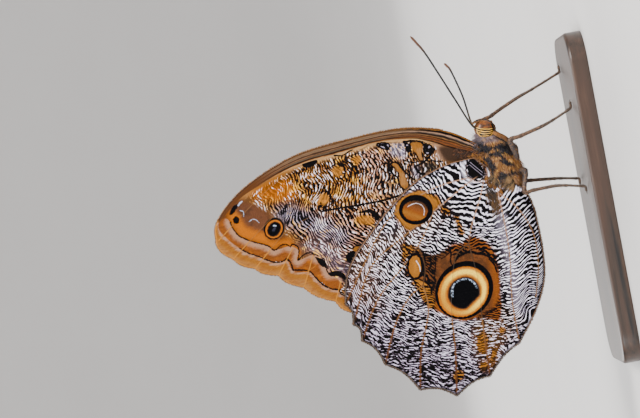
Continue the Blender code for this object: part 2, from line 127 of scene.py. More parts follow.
FOREWING_VEINS = {
    "subcosta": ((47, 6.5), (32.5, 15.5), (23.2, 26), (14.6, 39), (8, 54), (2, 66)),
    "radius": (
        (30, 4), (24, 12), (19.5, 22), (15.8, 32.6), (11, 42), (6.2, 54), (-0.5, 65), (-7.6, 79.2),
    ),
    "first_medial": ((15.8, 32.6), (8.7, 39.5), (-1.3, 54.3), (-6, 62.7), (-11.8, 76.2)),
    "cell_end": ((9.6, 38.5), (2, 41.5), (-8.4, 48.2)),
    "cubital": ((-25, 8), (-18, 16), (-14.9, 23.7), (-11.2, 37), (-8.4, 48.2)),
    "second_medial": ((-8.4, 48.2), (-10.2, 59), (-15.6, 71.7)),
    "third_medial": ((-8.4, 48.2), (-13.8, 57.6), (-19.5, 66.9)),
    "first_cubital": ((-9.7, 42.8), (-17.2, 53), (-25.4, 62.7)),
    "second_cubital": ((-12.6, 31.5), (-23, 45), (-33.5, 58.4)),
    "anal": ((-42, 9), (-37, 24), (-36.5, 42), (-39.7, 57)),
}
HINDWING_VEINS = {
    "subcosta": ((-40.6, 8.2), (-25.5, 13.1), (-21, 18.8), (-21, 28.1), (-25.3, 36.6), (-36, 57.2)),
    "radial_stem": ((-55, 6.5), (-43.3, 10.3), (-37.8, 17.2), (-34, 31.5), (-33.6, 45), (-41.3, 60)),
    "first_medial": ((-36.3, 22), (-41.5, 29), (-42.7, 36), (-42.4, 50), (-45.6, 62.2)),
    "cell_end": ((-42, 31.5), (-50.5, 35.5), (-53.3, 40.2)),
    "second_medial": ((-53.3, 40.2), (-50.8, 45.5), (-51.2, 54), (-53.6, 64.7)),
    "third_medial": ((-53.3, 40.2), (-58.9, 46.2), (-61, 57.6), (-63.6, 67.8)),
    "cubital_stem": ((-72, 5.5), (-69.8, 12.3), (-67.1, 19.6), (-67.7, 25.1)),
    "first_cubital": ((-67.7, 25.1), (-62.4, 30), (-66, 42.6), (-70.3, 55), (-72.4, 67.4)),
    "second_cubital": ((-67.7, 25.1), (-75.2, 34.6), (-78, 46.9), (-80.3, 61.4)),
    "first_anal": ((-95.5, 10.1), (-93.6, 20.6), (-91.8, 29.7), (-89.3, 40.8), (-89.3, 53)),
    "second_anal": ((-97, 11.2), (-108.9, 16.7), (-110, 25), (-104.6, 33.4), (-98.5, 41.5)),
}
NO_FLOW = ("cell_end",)  # veins that run across the ripples' lie

# Wings: how they stand off the plane of symmetry, as in the solids
WING_CLEAR = 0.55
ROOT_SPREAD = 2.3
ROOT_FADE = 11.0
LAYER = 1.16
FLAP_SWELL = 2.25
FLAP_HALF_HEIGHT = 3.7
FLAP_LENGTH = 36.0
FLAP_END = 0.8
FLAP_FADE = 9
ABDOMEN_FRONT = (6.4, 19.25)
ABDOMEN_TIP = (-21.9, 20.1)
SOLID_MEMBRANE = 0.5

# Wings: the render's finer membrane, inside the solid one
MEMBRANE = 0.26
MARGIN_SHARE = 0.4  # thickness at the margin as a share of the membrane's
MARGIN_TAPER = 1.4
VEIN_HALF_WIDTH = 0.34
VEIN_RISE = 0.2
MESH_STEP = 0.55
VEIN_MESH_STEP = 0.75
WING_BEND_STEP = 0.2  # over which the lean of a wing is measured, for its thickness and for its hair
HAIR_BEND_STEP = 0.1
FRINGE_STEP = 0.14
FRINGE_START = 14  # there are no fringe scales nearer to the hinge

# Wings: what the pattern goes by
HIND_PERIODS = ((-130, 0.86), (-90, 0.95), (-60, 0.98), (0, 1.08))  # of the ripples, by angle from the hinge
FORE_PERIODS = ((-60, 1.0), (0, 1.0), (50, 1.08))
FRONT_WIDTHS = (  # of the stripes along the forewing's front edge, by reach from the hinge
    (0, 1.4), (8, 3.9), (12, 4.2), (20, 3.0), (30, 2.7), (45, 3.1), (55, 2.6), (64, 2.0), (72, 0.9),
    (79, 0.3),
)
FLOW_REACH = 0.8
FLOW_STEP = 1.5
SHAPE_STEP = 0.6
VEIN_FIELD_STEP = 0.8
COSTA_FIELD_STEP = 1.0
FOLD_LENGTH = 8.5
WING_MAP_START = (-62, -25)
WING_MAP_SIZE = (75, 106)
PUPIL_DEPTH = 4.0  # how far inside an eyespot's first boundary its value is 0
SIDES = (("right", -1), ("left", 1))

# Runs of colour as (value, colour name). On an eyespot the value is its ring, 1 on the first boundary
BIG_EYE_TONES = (
    (0.0, "ink"), (0.96, "ink"), (1.04, "umber"), (1.1, "amber"), (1.24, "sand"), (1.4, "yellow"),
    (1.64, "yellow"), (1.78, "sand"), (1.92, "orange"), (2.0, "umber"), (2.06, "ink"), (3.0, "ink"),
)
SMALL_EYE_TONES = (
    (0.0, "sand"), (0.5, "ochre"), (0.8, "gold"), (0.96, "gold"), (1.06, "black"), (2.0, "black"),
)
TIP_EYE_TONES = (
    (0.0, "slate"), (0.6, "slate"), (0.68, "ink"), (0.94, "ink"), (1.06, "umber"), (1.25, "orange"),
    (1.75, "orange"), (1.95, "umber"), (2.1, "black"), (2.6, "black"), (3.0, "umber"),
)
DISC_TONES = (
    (0.0, "brown"), (0.14, "amber"), (0.34, "gold"), (0.46, "amber"), (0.6, "rust"), (0.74, "brown"),
    (0.92, "umber"),
)
MARGIN_TONES = ((0.25, "tan"), (0.5, "gold"), (0.72, "gold"), (0.86, "dusk"), (1.0, "dusk"))
FRONT_TOP = 1.25  # the forewing's front edge is striped from 0 on the edge to 1, and the runs go on to here
FRONT_TONES = (
    (0.0, "umber"), (0.07, "tan"), (0.11, "umber"), (0.19, "bark"), (0.28, "olive"), (0.34, "bark"),
    (0.42, "umber"), (0.5, "umber"), (0.56, "bark"), (0.62, "brown"), (0.7, "drab"), (0.78, "umber"),
    (0.86, "black"), (0.92, "rust"), (1.0, "straw"), (1.25, "straw"),
)
FRONT_ROOT_TONES = (
    (0.0, "gold"), (0.08, "ochre"), (0.12, "black"), (0.24, "black"), (0.3, "dusk"), (0.37, "grey"),
    (0.43, "black"), (0.52, "umber"), (0.56, "vein"), (0.62, "black"), (0.72, "rust"), (0.8, "umber"),
    (0.88, "rust"), (0.95, "black"), (1.0, "black"),
)
TAN_HAIR = ((0.34, "umber"), (0.42, "gold"), (0.5, "tan"), (0.57, "dusk"), (0.66, "cream"))
DARK_HAIR = ((0.36, "ink"), (0.45, "black"), (0.53, "slate"), (0.63, "grey"))
REAR_HAIR = ((0.35, "umber"), (0.5, "olive"), (0.65, "tan"))
FACE_HAIR = ((0.35, "brown"), (0.5, "ochre"), (0.62, "tan"))
EYE_GLOW = ((0.36, "umber"), (0.45, "red_brown"), (0.54, "amber"), (0.66, "gold"))
HIP_TONES = ((0.3, "ink"), (0.42, "slate"), (0.52, "grey"), (0.66, "tan"))
SHIN_TONES = ((0.3, "umber"), (0.46, "umber"), (0.58, "bark"), (0.74, "pink"))
FOOT_TONES = ((0.3, "umber"), (0.5, "grey"), (0.65, "bark"), (0.8, "tan"))
WOOD_TONES = ((0.35, "black"), (0.46, "umber"), (0.56, "walnut"), (0.68, "walnut_light"))
MARK_SOFT = 0.07
EYE_STRIPE = 0.62  # from one stripe, ring or ridge to the next
ANTENNA_RING = 0.5
PROBOSCIS_RING = 0.12


def polar(pairs):
    """Points (forward, up) from the hinge, for pairs of angle in degrees and reach."""
    turn = np.radians([angle for angle, _ in pairs])
    reach = np.array([reach for _, reach in pairs], float)
    return np.column_stack((np.sin(turn) * reach, np.cos(turn) * reach))


def smooth_run(points, step, closed=False):
    """The points of a smooth curve through the given ones, about a step apart."""
    points = np.asarray(points, float)
    if closed:
        ends = np.vstack((points[-1:], points, points[:2]))
    else:
        ends = np.vstack((2 * points[0] - points[1], points, 2 * points[-1] - points[-2]))
    run = []
    for before, start, end, after in zip(ends, ends[1:], ends[2:], ends[3:]):
        count = max(1, round(float(np.linalg.norm(end - start)) / step))
        share = (np.arange(count) / count)[:, None]
        run.append(0.5 * (
            2 * start
            + (end - before) * share
            + (2 * before - 5 * start + 4 * end - after) * share**2
            + (3 * start - before - 3 * end + after) * share**3
        ))
    return np.vstack(run) if closed else np.vstack((*run, points[-1:]))


def nearest(points, line):
    """Each point's distance from a line, and how far along the line its nearest point is."""
    best = np.full(len(points), np.inf)
    travel = np.zeros(len(points))
    covered = 0.0
    for start, end in zip(line, line[1:]):
        along = end - start
        length = math.hypot(*along)
        offset = points - start
        share = np.clip(offset @ along / length**2, 0, 1)
        off = np.hypot(*(offset - share[:, None] * along).T)
        closer = off < best
        best[closer] = off[closer]
        travel[closer] = covered + share[closer] * length
        covered += length
    return best, travel


def closed_line(line):
    return np.vstack((line, line[:1]))


def inside(points, outline):
    crossings = np.zeros(len(points), int)
    for a, b in zip(outline, np.roll(outline, -1, axis=0)):
        spans = (a[1] > points[:, 1]) != (b[1] > points[:, 1])
        if spans.any():
            at = a[0] + (points[:, 1] - a[1]) * (b[0] - a[0]) / (b[1] - a[1])
            crossings += spans & (points[:, 0] < at)
    return crossings % 2 == 1


def ease(value, low, high):
    """0 below low and 1 above high, with a smooth rise between them."""
    share = np.clip((value - low) / (high - low), 0, 1)
    return share * share * (3 - 2 * share)


# Shapes of the wing pattern. Each is a function that gives points their distance from it, negative inside

def area(*corners):
    outline = smooth_run(corners, SHAPE_STEP, closed=True)

    def distance(points):
        off = nearest(points, closed_line(outline))[0]
        return np.where(inside(points, outline), -off, off)

    return distance


def stroke(half_width, *stops):
    line = smooth_run(stops, SHAPE_STEP) if len(stops) > 2 else np.array(stops, float)

    def distance(points):
        return nearest(points, line)[0] - half_width

    distance.line = line
    return distance


def oval(centre, radii, tilt=0.0, cut=None):
    """An ellipse whose first radius leans by tilt from forward towards up. A cut (angle, reach) flattens a
    side."""
    turn = math.radians(tilt)

    def distance(points):
        offset = points - np.array(centre)
        first = offset @ (math.cos(turn), math.sin(turn)) / radii[0]
        second = offset @ (-math.sin(turn), math.cos(turn)) / radii[1]
        size = np.hypot(first, second) + 1e-9
        off = (size - 1) * np.hypot(*offset.T) / size
        if cut:
            lean = math.radians(cut[0])
            off = np.maximum(off, offset @ (math.cos(lean), math.sin(lean)) - cut[1])
        return off

    return distance


def rings(points, *ovals):
    """0 at an eyespot's middle, then 1 on its first boundary, 2 on the next and so on, to one more
    outside."""
    offs = [shape(points) for shape in ovals]
    value = np.clip(1 + offs[0] / PUPIL_DEPTH, 0, 1)
    for i, (within, beyond) in enumerate(zip(offs, offs[1:])):
        share = np.clip(within, 0, None) / np.maximum(within - beyond, 1e-6)
        value = np.where((within > 0) & (beyond <= 0), 1 + i + share, value)
    last = offs[-1]
    return np.where(last > 0, len(ovals) + np.clip(last, 0, 1), value)


# Eyespots, as the ovals from the pupil's edge outwards
DIAGONAL = -55.5  # lean of the big eyespot's long axis
ACROSS = 79.5
BIG_EYE_CENTRE = (-36.1, 13.4)
UPPER_EYE_CENTRE = (-11.6, 22.5)
HIND_EYE = (
    oval((-36.5, 13.3), (4.4, 4.05), DIAGONAL, cut=(-145.5, 3.35)),
    oval(BIG_EYE_CENTRE, (7.6, 6.7), DIAGONAL),
    oval((-35.65, 13.05), (8.5, 7.6), DIAGONAL),
)
UPPER_EYE = (oval(UPPER_EYE_CENTRE, (3.6, 2.9), ACROSS), oval((-11.3, 22.2), (4.75, 4.2), ACROSS))
SMALL_EYE = (oval((-26.8, 25.3), (3.2, 1.85), -10.5), oval((-26.8, 25.2), (3.75, 2.3), -10.5))
TIP_EYE = (
    oval((-9.5, 61.9), (2.25, 1.75), -40), oval((-9.5, 61.95), (2.75, 2.4), -40),
    oval((-9.3, 61.9), (3.1, 2.8), -40),
)
EYE_GLINT = stroke(
    0.32, (-36.9, 16.6), (-34.9, 16.3), (-33.3, 15.2), (-32.6, 13.2), (-32.8, 11.5), (-34.0, 10.1),
    (-35.5, 9.5),
)

# In the black mark by the hindwing's root, a pale line runs on each side of this one
ROOT_LINES = stroke(0.0, (0.0, 6.4), (-2.6, 4.3), (-5.4, 1.9))
# Marks by colour. The guide is no mark itself, but gives the pale lines their place
HIND_MARKS = {
    "brown": (area(
        (-21.3, 9.1), (-22.0, 6.6), (-23.6, 4.5), (-26.3, 2.8), (-29.6, 2.4), (-34.4, 2.7), (-38.3, 3.2),
        (-42.3, 3.6), (-45.7, 4.8), (-45.0, 7.7), (-44.2, 10.6), (-44.2, 15.1), (-41.4, 19.5),
        (-39.3, 22.6), (-34.7, 22.7), (-32.8, 23.6), (-32.0, 25.6), (-29.8, 27.4), (-28.5, 29.0),
        (-25.4, 27.4), (-22.9, 25.8), (-21.6, 23.7), (-23.4, 21.8), (-24.4, 19.6), (-23.7, 16.6),
        (-22.3, 13.6), (-22.7, 11.2),
    ),),
    "ochre": (
        area(
            (-9.0, 27.6), (-7.3, 25.6), (-6.4, 22.9), (-6.0, 20.0), (-7.3, 18.0), (-8.2, 15.8),
            (-9.5, 15.0), (-10.8, 14.8), (-12.4, 16.7), (-13.9, 18.7), (-15.4, 20.6), (-16.3, 22.8),
            (-16.8, 25.3), (-14.4, 27.2), (-12.0, 28.5),
        ),
        area((-11.8, 15.5), (-11.5, 14.0), (-12.9, 12.8), (-14.6, 12.9), (-14.5, 14.5), (-13.5, 15.5)),
        area(
            (-20.0, 27.8), (-20.2, 26.3), (-20.9, 24.6), (-22.8, 22.8), (-22.7, 24.7), (-24.0, 26.8),
            (-25.7, 28.6),
        ),
        area(
            (-30.8, 27.1), (-30.7, 24.0), (-33.5, 22.0), (-38.4, 21.8), (-39.0, 23.6), (-36.4, 25.0),
            (-33.0, 26.0),
        ),
        area((-15.0, 12.2), (-15.4, 10.6), (-17.5, 10.7), (-20.2, 9.9), (-20.5, 11.4), (-17.9, 11.8)),
        area((-49.2, 11.9), (-47.9, 10.2), (-49.4, 8.9), (-52.1, 9.4), (-54.2, 11.0), (-53.1, 12.6)),
        area((-53.3, 8.6), (-53.5, 7.2), (-55.2, 7.5), (-56.4, 9.3), (-55.2, 9.2)),
        area((-56.7, 12.7), (-56.3, 10.6), (-58.3, 10.5), (-58.8, 12.6)),
        area((-57.8, 20.3), (-57.1, 18.4), (-58.4, 17.0), (-60.1, 18.3), (-60.0, 20.3)),
        area((-47.9, 5.7), (-47.7, 3.9), (-49.3, 3.9), (-49.5, 5.6)),
        stroke(0.2, (0.2, 4.4), (-1.4, 2.9), (-3.6, 1.6), (-5.8, 1.7), (-7.0, 2.4)),
        stroke(0.16, (-0.9, 5.7), (-2.8, 6.6), (-5.0, 6.5)),
        stroke(0.3, (-5.6, 6.0), (-6.5, 4.4), (-6.9, 2.6)),
    ),
    "black": (
        stroke(0.24, (-28.6, 4.6), (-30.2, 3.6), (-32.4, 3.2)),
        stroke(0.17, (-25.0, 19.3), (-27.4, 19.6), (-29.8, 20.3), (-32.5, 20.6)),
        stroke(0.2, (-23.7, 14.8), (-25.5, 14.9), (-27.2, 15.4), (-28.4, 15.0)),
        stroke(0.3, (-25.4, 20.9), (-27.0, 20.8), (-28.1, 21.5)),
        stroke(0.16, (-26.0, 17.7), (-25.4, 16.2), (-24.4, 15.1)),
        stroke(
            0.34, (-27.3, 14.2), (-26.3, 13.1), (-25.7, 11.3), (-25.6, 9.2), (-26.4, 7.8), (-26.9, 6.0),
            (-28.2, 4.2), (-29.9, 3.0),
        ),
        stroke(0.2, (-7.6, 18.3), (-8.0, 15.9), (-9.0, 15.2), (-10.5, 15.0)),
        stroke(0.26, (-22.6, 23.1), (-24.3, 22.2), (-30.4, 23.3), (-33.3, 22.0), (-35.2, 22.2)),
        stroke(0.2, (-30.5, 24.8), (-31.6, 23.3), (-33.3, 22.0)),
        stroke(0.26, (-14.2, 15.9), (-14.9, 14.6), (-15.5, 12.9), (-17.0, 13.6), (-18.2, 12.5)),
        stroke(0.3, (-55.0, 12.5), (-55.0, 10.9), (-56.0, 10.1)),
        area(
            (-3.0, 6.2), (-0.9, 5.5), (0.0, 4.4), (-2.1, 2.6), (-3.9, 1.8), (-5.8, 2.2), (-6.0, 4.2),
            (-4.6, 6.0),
        ),
    ),
    "white": (
        stroke(
            0.08, (-10.1, 24.3), (-9.7, 23.2), (-9.6, 21.8), (-10.3, 20.5), (-11.7, 19.9), (-13.2, 20.3),
        ),
        stroke(0.1, (-25.3, 24.7), (-26.8, 24.1), (-28.4, 24.1)),
    ),
    "guide": (ROOT_LINES,),
}
# The dark line along the inner edge of the orange band
SCALLOPS = (
    (
        (-5.4, 73.6), (-6.8, 73.3), (-8.6, 72.5), (-9.7, 71.7), (-11.0, 69.9), (-12.0, 68.1),
        (-13.0, 65.9), (-13.9, 64.2),
    ),
    ((-13.9, 64.2), (-15.3, 62.9), (-14.4, 61.1), (-14.2, 59.6), (-15.2, 58.3)),
    ((-14.5, 57.7), (-15.2, 56.5), (-16.6, 56.2), (-19.3, 57.0)),
    ((-19.3, 57.0), (-18.0, 55.1), (-17.7, 53.2), (-18.6, 52.2)),
    ((-19.4, 51.9), (-20.6, 49.9), (-22.7, 49.7), (-24.5, 49.3)),
    ((-24.5, 49.3), (-24.8, 47.1), (-25.5, 45.6), (-27.2, 44.7)),
)
FORE_MARKS = {
    "brown": (area(
        (-4.3, 73.8), (-2.4, 73.0), (-0.6, 70.0), (-1.6, 66.6), (-4.2, 63.5), (-6.4, 62.6), (-10.5, 64.2),
        (-12.8, 62.6), (-12.9, 57.8), (-14.9, 58.2), (-14.0, 60.8), (-15.0, 62.8), (-13.7, 64.4),
        (-11.8, 68.1), (-9.6, 71.7),
    ),),
    "margin": (area(
        (4, 82), (-4.6, 76.8), (-8.5, 76.0), (-13.0, 72.3), (-14.7, 70.2), (-15.9, 68.0), (-17.5, 65.5),
        (-18.5, 63.7), (-18.8, 61.3), (-18.1, 60.0), (-19.5, 59.1), (-21.6, 58.9), (-22.1, 56.3),
        (-22.9, 54.2), (-24.7, 53.1), (-27.0, 51.5), (-28.6, 49.4), (-29.4, 47.1), (-30.5, 46.9),
        (-31.6, 45.3), (-36, 42), (-46, 55), (-30, 76), (-10, 86),
    ),),
    "ochre": (
        area(
            (2.5, 26.8), (2.5, 24.8), (0.2, 23.8), (-2.4, 23.2), (-4.6, 22.8), (-5.4, 24.2), (-3.8, 25.3),
            (-1.0, 25.1), (0.9, 25.8),
        ),
        area(
            (7.3, 20.4), (7.1, 17.6), (5.9, 16.8), (3.6, 17.7), (1.8, 17.5), (1.7, 18.6), (3.6, 19.3),
            (5.1, 20.1),
        ),
        area((-18.7, 41.5), (-18.1, 39.6), (-19.1, 39.4), (-20.1, 40.8)),
    ),
    "orange": (area(
        (-4.2, 74.3), (-8.6, 72.5), (-11.0, 69.9), (-13.9, 64.4), (-15.3, 62.9), (-15.0, 58.6),
        (-16.6, 56.3), (-19.3, 57.2), (-18.6, 52.2), (-22.4, 49.9), (-28.0, 46.1), (-29.4, 47.1),
        (-28.6, 49.4), (-24.7, 53.1), (-23.1, 54.2), (-22.0, 58.7), (-18.2, 60.0), (-18.8, 61.3),
        (-17.5, 65.5), (-13.0, 72.3), (-7.8, 76.6), (-5.0, 76.7),
    ),),
    "tan": (
        area((-2.7, 47.8), (-2.0, 46.1), (-3.6, 45.1), (-5.1, 45.5), (-5.8, 47.2), (-4.6, 48.2)),
        area((4.0, 43.4), (4.7, 41.4), (3.6, 40.0), (1.7, 40.6), (1.3, 41.9), (2.5, 43.1)),
        area((6.2, 36.9), (6.4, 34.9), (5.0, 34.5), (3.8, 35.8), (4.6, 36.8)),
        area((-10.4, 38.8), (-10.2, 35.5), (-12.5, 33.9), (-13.4, 35.7), (-11.9, 39.1)),
    ),
    "cream": tuple((stroke(0.25, *stops) for stops in SCALLOPS)),
    "black": (
        *(stroke(0.17, *stops) for stops in SCALLOPS),
        stroke(
            0.2, (-13.0, 72.3), (-14.7, 70.2), (-15.9, 68.0), (-17.5, 65.5), (-18.5, 63.7), (-18.8, 61.3),
            (-18.1, 60.0),
        ),
        stroke(0.21, (-18.1, 60.0), (-19.5, 59.1), (-21.6, 58.9)),
        stroke(
            0.21, (-21.6, 58.9), (-22.1, 56.3), (-22.9, 54.2), (-24.7, 53.1), (-27.0, 51.5),
            (-28.6, 49.4), (-29.4, 47.1),
        ),
        stroke(0.21, (-29.4, 47.1), (-30.5, 46.9), (-31.6, 45.3)),
        area((-3.7, 73.3), (-3.0, 73.4), (-1.3, 72.1), (-0.7, 70.9), (-1.6, 70.8), (-2.9, 72.0)),
        oval((-5.1, 71.8), (1.05, 0.9)),
        area(
            (-9.3, 39.0), (-8.8, 36.1), (-9.4, 33.8), (-11.2, 32.3), (-12.7, 33.0), (-11.7, 33.8),
            (-10.1, 34.7), (-9.6, 36.6),
        ),
        area((-20.2, 43.6), (-19.3, 41.6), (-20.1, 40.7), (-22.2, 41.4), (-22.8, 42.7), (-21.6, 43.7)),
        area((-19.4, 51.9), (-20.6, 49.9), (-21.7, 49.3), (-22.4, 50.3), (-20.9, 51.6)),
        area((-24.2, 49.2), (-24.0, 46.9), (-25.1, 45.1), (-27.0, 44.7), (-25.6, 46.8), (-25.3, 48.8)),
        area((7.2, 50.9), (8.1, 48.3), (6.8, 46.5), (5.6, 48.7), (5.9, 50.7)),
        stroke(0.22, (7.7, 41.9), (7.2, 39.5), (8.4, 36.5)),
        stroke(0.26, (0.8, 27.5), (2.1, 27.3), (2.8, 25.5), (1.0, 24.1), (-0.8, 23.0), (-3.0, 21.2)),
        stroke(0.24, (-0.1, 27.0), (-1.7, 25.6), (-3.8, 25.4), (-5.4, 24.3)),
        stroke(0.3, (7.9, 22.1), (7.7, 20.3), (7.1, 17.6), (5.9, 16.7)),
        stroke(0.3, (-6.1, 22.9), (-7.1, 30.0), (-7.2, 36.3), (-7.1, 42.0), (-7.0, 47.7)),
        area((7.6, 22.1), (7.0, 20.5), (5.2, 20.4), (4.5, 21.6), (5.8, 21.9)),
        area((6.3, 16.7), (5.9, 15.0), (4.6, 14.4), (3.2, 15.2), (2.8, 16.3), (3.9, 17.3), (5.3, 17.2)),
        area((8.7, 30.0), (8.9, 27.9), (8.0, 25.9), (6.3, 26.6), (7.0, 28.6)),
        area((2.1, 26.8), (0.9, 27.9), (0.4, 27.0), (0.9, 26.2)),
        stroke(0.2, (2.8, 23.0), (1.7, 20.7), (1.7, 18.6), (1.3, 15.8), (0.5, 12.5)),
        stroke(0.16, (7.6, 22.3), (7.6, 18.9), (6.5, 16.3), (4.8, 14.5)),
        stroke(0.4, (0.6, 20.2), (-1.3, 19.5), (-2.3, 17.9), (-2.1, 16.5)),
        stroke(0.18, (-2.4, 48.4), (-1.6, 46.1), (-3.4, 44.7), (-5.5, 45.1), (-6.3, 47.4)),
        stroke(0.18, (4.4, 43.7), (5.2, 41.4), (3.8, 39.5), (1.3, 40.2), (0.9, 42.1)),
        stroke(0.16, (6.7, 37.1), (6.8, 34.6), (4.9, 34.0), (3.3, 35.8)),
        stroke(0.28, (4.2, 14.0), (1.6, 17.0), (0.6, 20.0)),
    ),
    "white": (
        stroke(0.16, (-1.2, 70.5), (-0.7, 70.0), (-0.3, 69.3)),
        stroke(0.05, (-2.7, 70.3), (-3.2, 69.4), (-4.5, 69.6)),
        stroke(0.04, (-6.2, 68.4), (-5.7, 67.3), (-6.1, 66.3), (-7.0, 65.7)),
        stroke(0.15, (-8.5, 61.9), (-8.7, 61.2)),
    ),
}
# Soft washes under the marks: colour, strength of the ripples over it, width of its soft edge, shape
HIND_WASHES = (
    ("pink", 0.95, 5.0, area(
        (-2, 20), (-8, 32), (-20, 44), (-30, 46), (-36, 38), (-22, 34), (-20, 24), (-10, 12),
    )),
    ("pearl", 1.0, 4.0, area((2, 2), (0, 14), (-8, 18), (-16, 8), (-24, 2), (-26, -6), (-12, -4))),
    ("pearl", 1.0, 2.5, stroke(2.6, (-1, 8), (-2, 16), (-4, 22), (-9, 28), (-14, 31))),
    ("pearl", 1.0, 3.0, area(
        (-8, -4), (-22, -1.5), (-40, -1.5), (-50, 4), (-44, -10), (-20, -22), (-6, -14),
    )),
    ("white", 0.4, 0.6, stroke(0.5, (0.2, 6.6), (-1.6, 7.2), (-4.2, 7.2), (-6.4, 5.8))),
    ("gold", 0.15, 0.5, stroke(0.5, (0.8, 5.6), (0.2, 4.0), (-1.4, 2.4), (-3.6, 1.3), (-5.8, 1.2))),
    # painted shade: a grey band with fainter ripples along the fold, where the wing bends round the abdomen
    ("silver", 0.6, 1.6, stroke(0.9, (-18.0, -0.6), (-24.1, -0.4), (-31.0, -0.6), (-43.0, -0.4))),
    ("gold", 0.8, 2.2, area((-42, 5), (-46, 3), (-52, 5), (-58, 7), (-59, 11), (-52, 13.5), (-46, 12))),
    ("tan", 0.95, 2.0, area(
        (-44.7, 10.2), (-43.7, 7.9), (-45.6, 5.5), (-46.8, 2.9), (-49.1, 1.9), (-51.5, 3.7),
        (-50.3, 10.6),
    )),
    ("gold", 1.0, 1.6, area(
        (-42.3, 7.7), (-40.8, 4.6), (-41.8, 3.0), (-45.3, -0.9), (-47.5, -1.2), (-47.9, 2.4),
        (-45.9, 5.5), (-44.4, 8.1),
    )),
    ("brown", 0.05, 0.5, area(
        (-32.2, 20.3), (-26.8, 19.3), (-25.4, 17.1), (-25.1, 15.1), (-27.1, 13.7), (-25.7, 10.6),
        (-26.6, 6.9), (-29.3, 3.9), (-31.9, 3.1), (-35.1, 3.2), (-38.2, 3.6), (-41.4, 5.4), (-42.3, 7.7),
        (-43.8, 15.0), (-39.8, 21.3),
    )),
    ("gold", 0.15, 0.6, area(
        (-8.6, 27.0), (-7.0, 25.4), (-6.4, 22.9), (-6.4, 20.0), (-8.2, 17.8), (-9.5, 16.2), (-11.2, 15.8),
        (-12.4, 17.2), (-15.2, 21.0), (-16.3, 25.0), (-12.0, 27.8),
    )),
)
FORE_WASHES = (
    ("gold", 1.0, 3.0, area(
        (5, 66), (7, 50), (8, 36), (3, 30), (-4, 33), (-7.5, 38), (-6, 48), (-5, 56), (-2, 62),
    )),
    ("pink", 1.0, 3.0, area((-8, 22), (-9, 34), (-10, 46), (-15, 52), (-20, 52), (-26, 44), (-22, 30))),
    ("silver", 1.0, 2.5, stroke(2.6, (-6.0, 58.0), (-10.0, 51.0), (-15.0, 44.0))),
    ("pink", 1.0, 2.5, area((7, 35), (8, 30), (4, 27), (-2, 27), (-6, 29), (-5, 33), (2, 34))),
    ("bark", 1.0, 2.0, area((2, 30), (4, 27), (0, 22), (-4, 20), (-6, 26), (-4, 31))),
    ("lilac", 0.8, 3.0, area(
        (-15.5, 55.5), (-14.5, 50), (-19, 46), (-24, 41), (-29, 43), (-24, 48), (-18.5, 51.5),
    )),
    ("orange", 0.5, 1.6, area(
        (1.1, 66.1), (2.6, 63.0), (3.6, 56.5), (0.4, 53.7), (-2.4, 55.9), (-1.7, 61.8), (-0.5, 66.0),
    )),
    ("silver", 0.8, 1.0, area(
        (8.0, 26.3), (8.3, 23.7), (7.2, 21.8), (4.8, 21.9), (3.1, 22.6), (3.7, 24.6), (5.4, 26.4),
    )),
    ("silver", 0.8, 1.0, area((0.3, 21.0), (0.4, 19.2), (-2.1, 19.3), (-3.3, 20.2), (-1.8, 21.0))),
    ("dusk", 0.35, 0.8, area(
        (6.2, 14.6), (5.1, 12.3), (3.5, 11.2), (0.8, 10.3), (0.7, 13.1), (1.7, 14.7), (4.0, 13.9),
    )),
    ("grey", 0.9, 1.0, area(
        (1.1, 19.1), (1.3, 16.6), (0.1, 14.0), (-1.8, 15.0), (-2.0, 17.9), (-0.4, 19.0),
    )),
    ("umber", 0.0, 0.9, area(
        (4.6, 13.0), (4.4, 9.0), (2.4, 4.5), (-1.0, 4.5), (-0.6, 9.3), (0.6, 12.0),
    )),
    ("brown", 0.0, 1.8, area(
        (-4.3, 76.8), (1.5, 73.0), (0.0, 68.0), (-3.2, 64.0), (-6.4, 61.0), (-10.5, 59.0), (-13.0, 57.5),
        (-16.9, 54.8), (-19.0, 53.5), (-16.5, 60.8), (-12.0, 72.0),
    )),
    ("orange", 0.0, 0.8, area(
        (-14.5, 58.2), (-16.5, 56.0), (-19.4, 57.2), (-18.6, 60.2), (-16.8, 61.5), (-15.2, 60.5),
    )),
)
# Where the ripples are bold, and the warm side of the hindwing's brown field
HIND_BOLD = stroke(8.0, (-7.0, 9.0), (-6.0, 2.0), (-16.0, -8.0), (-30.0, -12.0), (-42.0, -8.0))
FORE_BOLD = stroke(4.0, (-7.0, 57.0), (-12.0, 48.0), (-16.0, 42.0))
WARM_FIELD = stroke(
    1.2, (-22.6, 14.5), (-22.3, 9.0), (-25.2, 4.2), (-31, 2.9), (-38, 3.6), (-44.6, 6.0), (-44.9, 13),
    (-42.5, 19), (-37.0, 22.3),
)


def wing_outline(costa, tips, inner, depth, root=()):
    """A wing's outline: its front edge, the edge through the vein tips, its inner edge and its root."""
    front = smooth_run(polar(costa + tips[:1]), MESH_STEP)
    edge = []
    for start, end in zip(polar(tips), polar(tips[1:])):
        count = max(2, round(math.dist(start, end) / MESH_STEP))
        share = (np.arange(count) / count)[:, None]
        middle = (start + end) / 2
        dip = -middle / math.hypot(*middle) * depth * np.sin(np.pi * share)
        edge.append(start + (end - start) * share + dip)
    rest = [smooth_run(polar(tips[-1:] + inner), MESH_STEP)]
    if root:
        rest.append(smooth_run(polar(root), MESH_STEP))
    return np.vstack((front[:-1], *edge, *rest))


def forewing_stand_off(points):
    return WING_CLEAR + ROOT_SPREAD * np.exp(-((np.hypot(*points.T) / ROOT_FADE) ** 2))


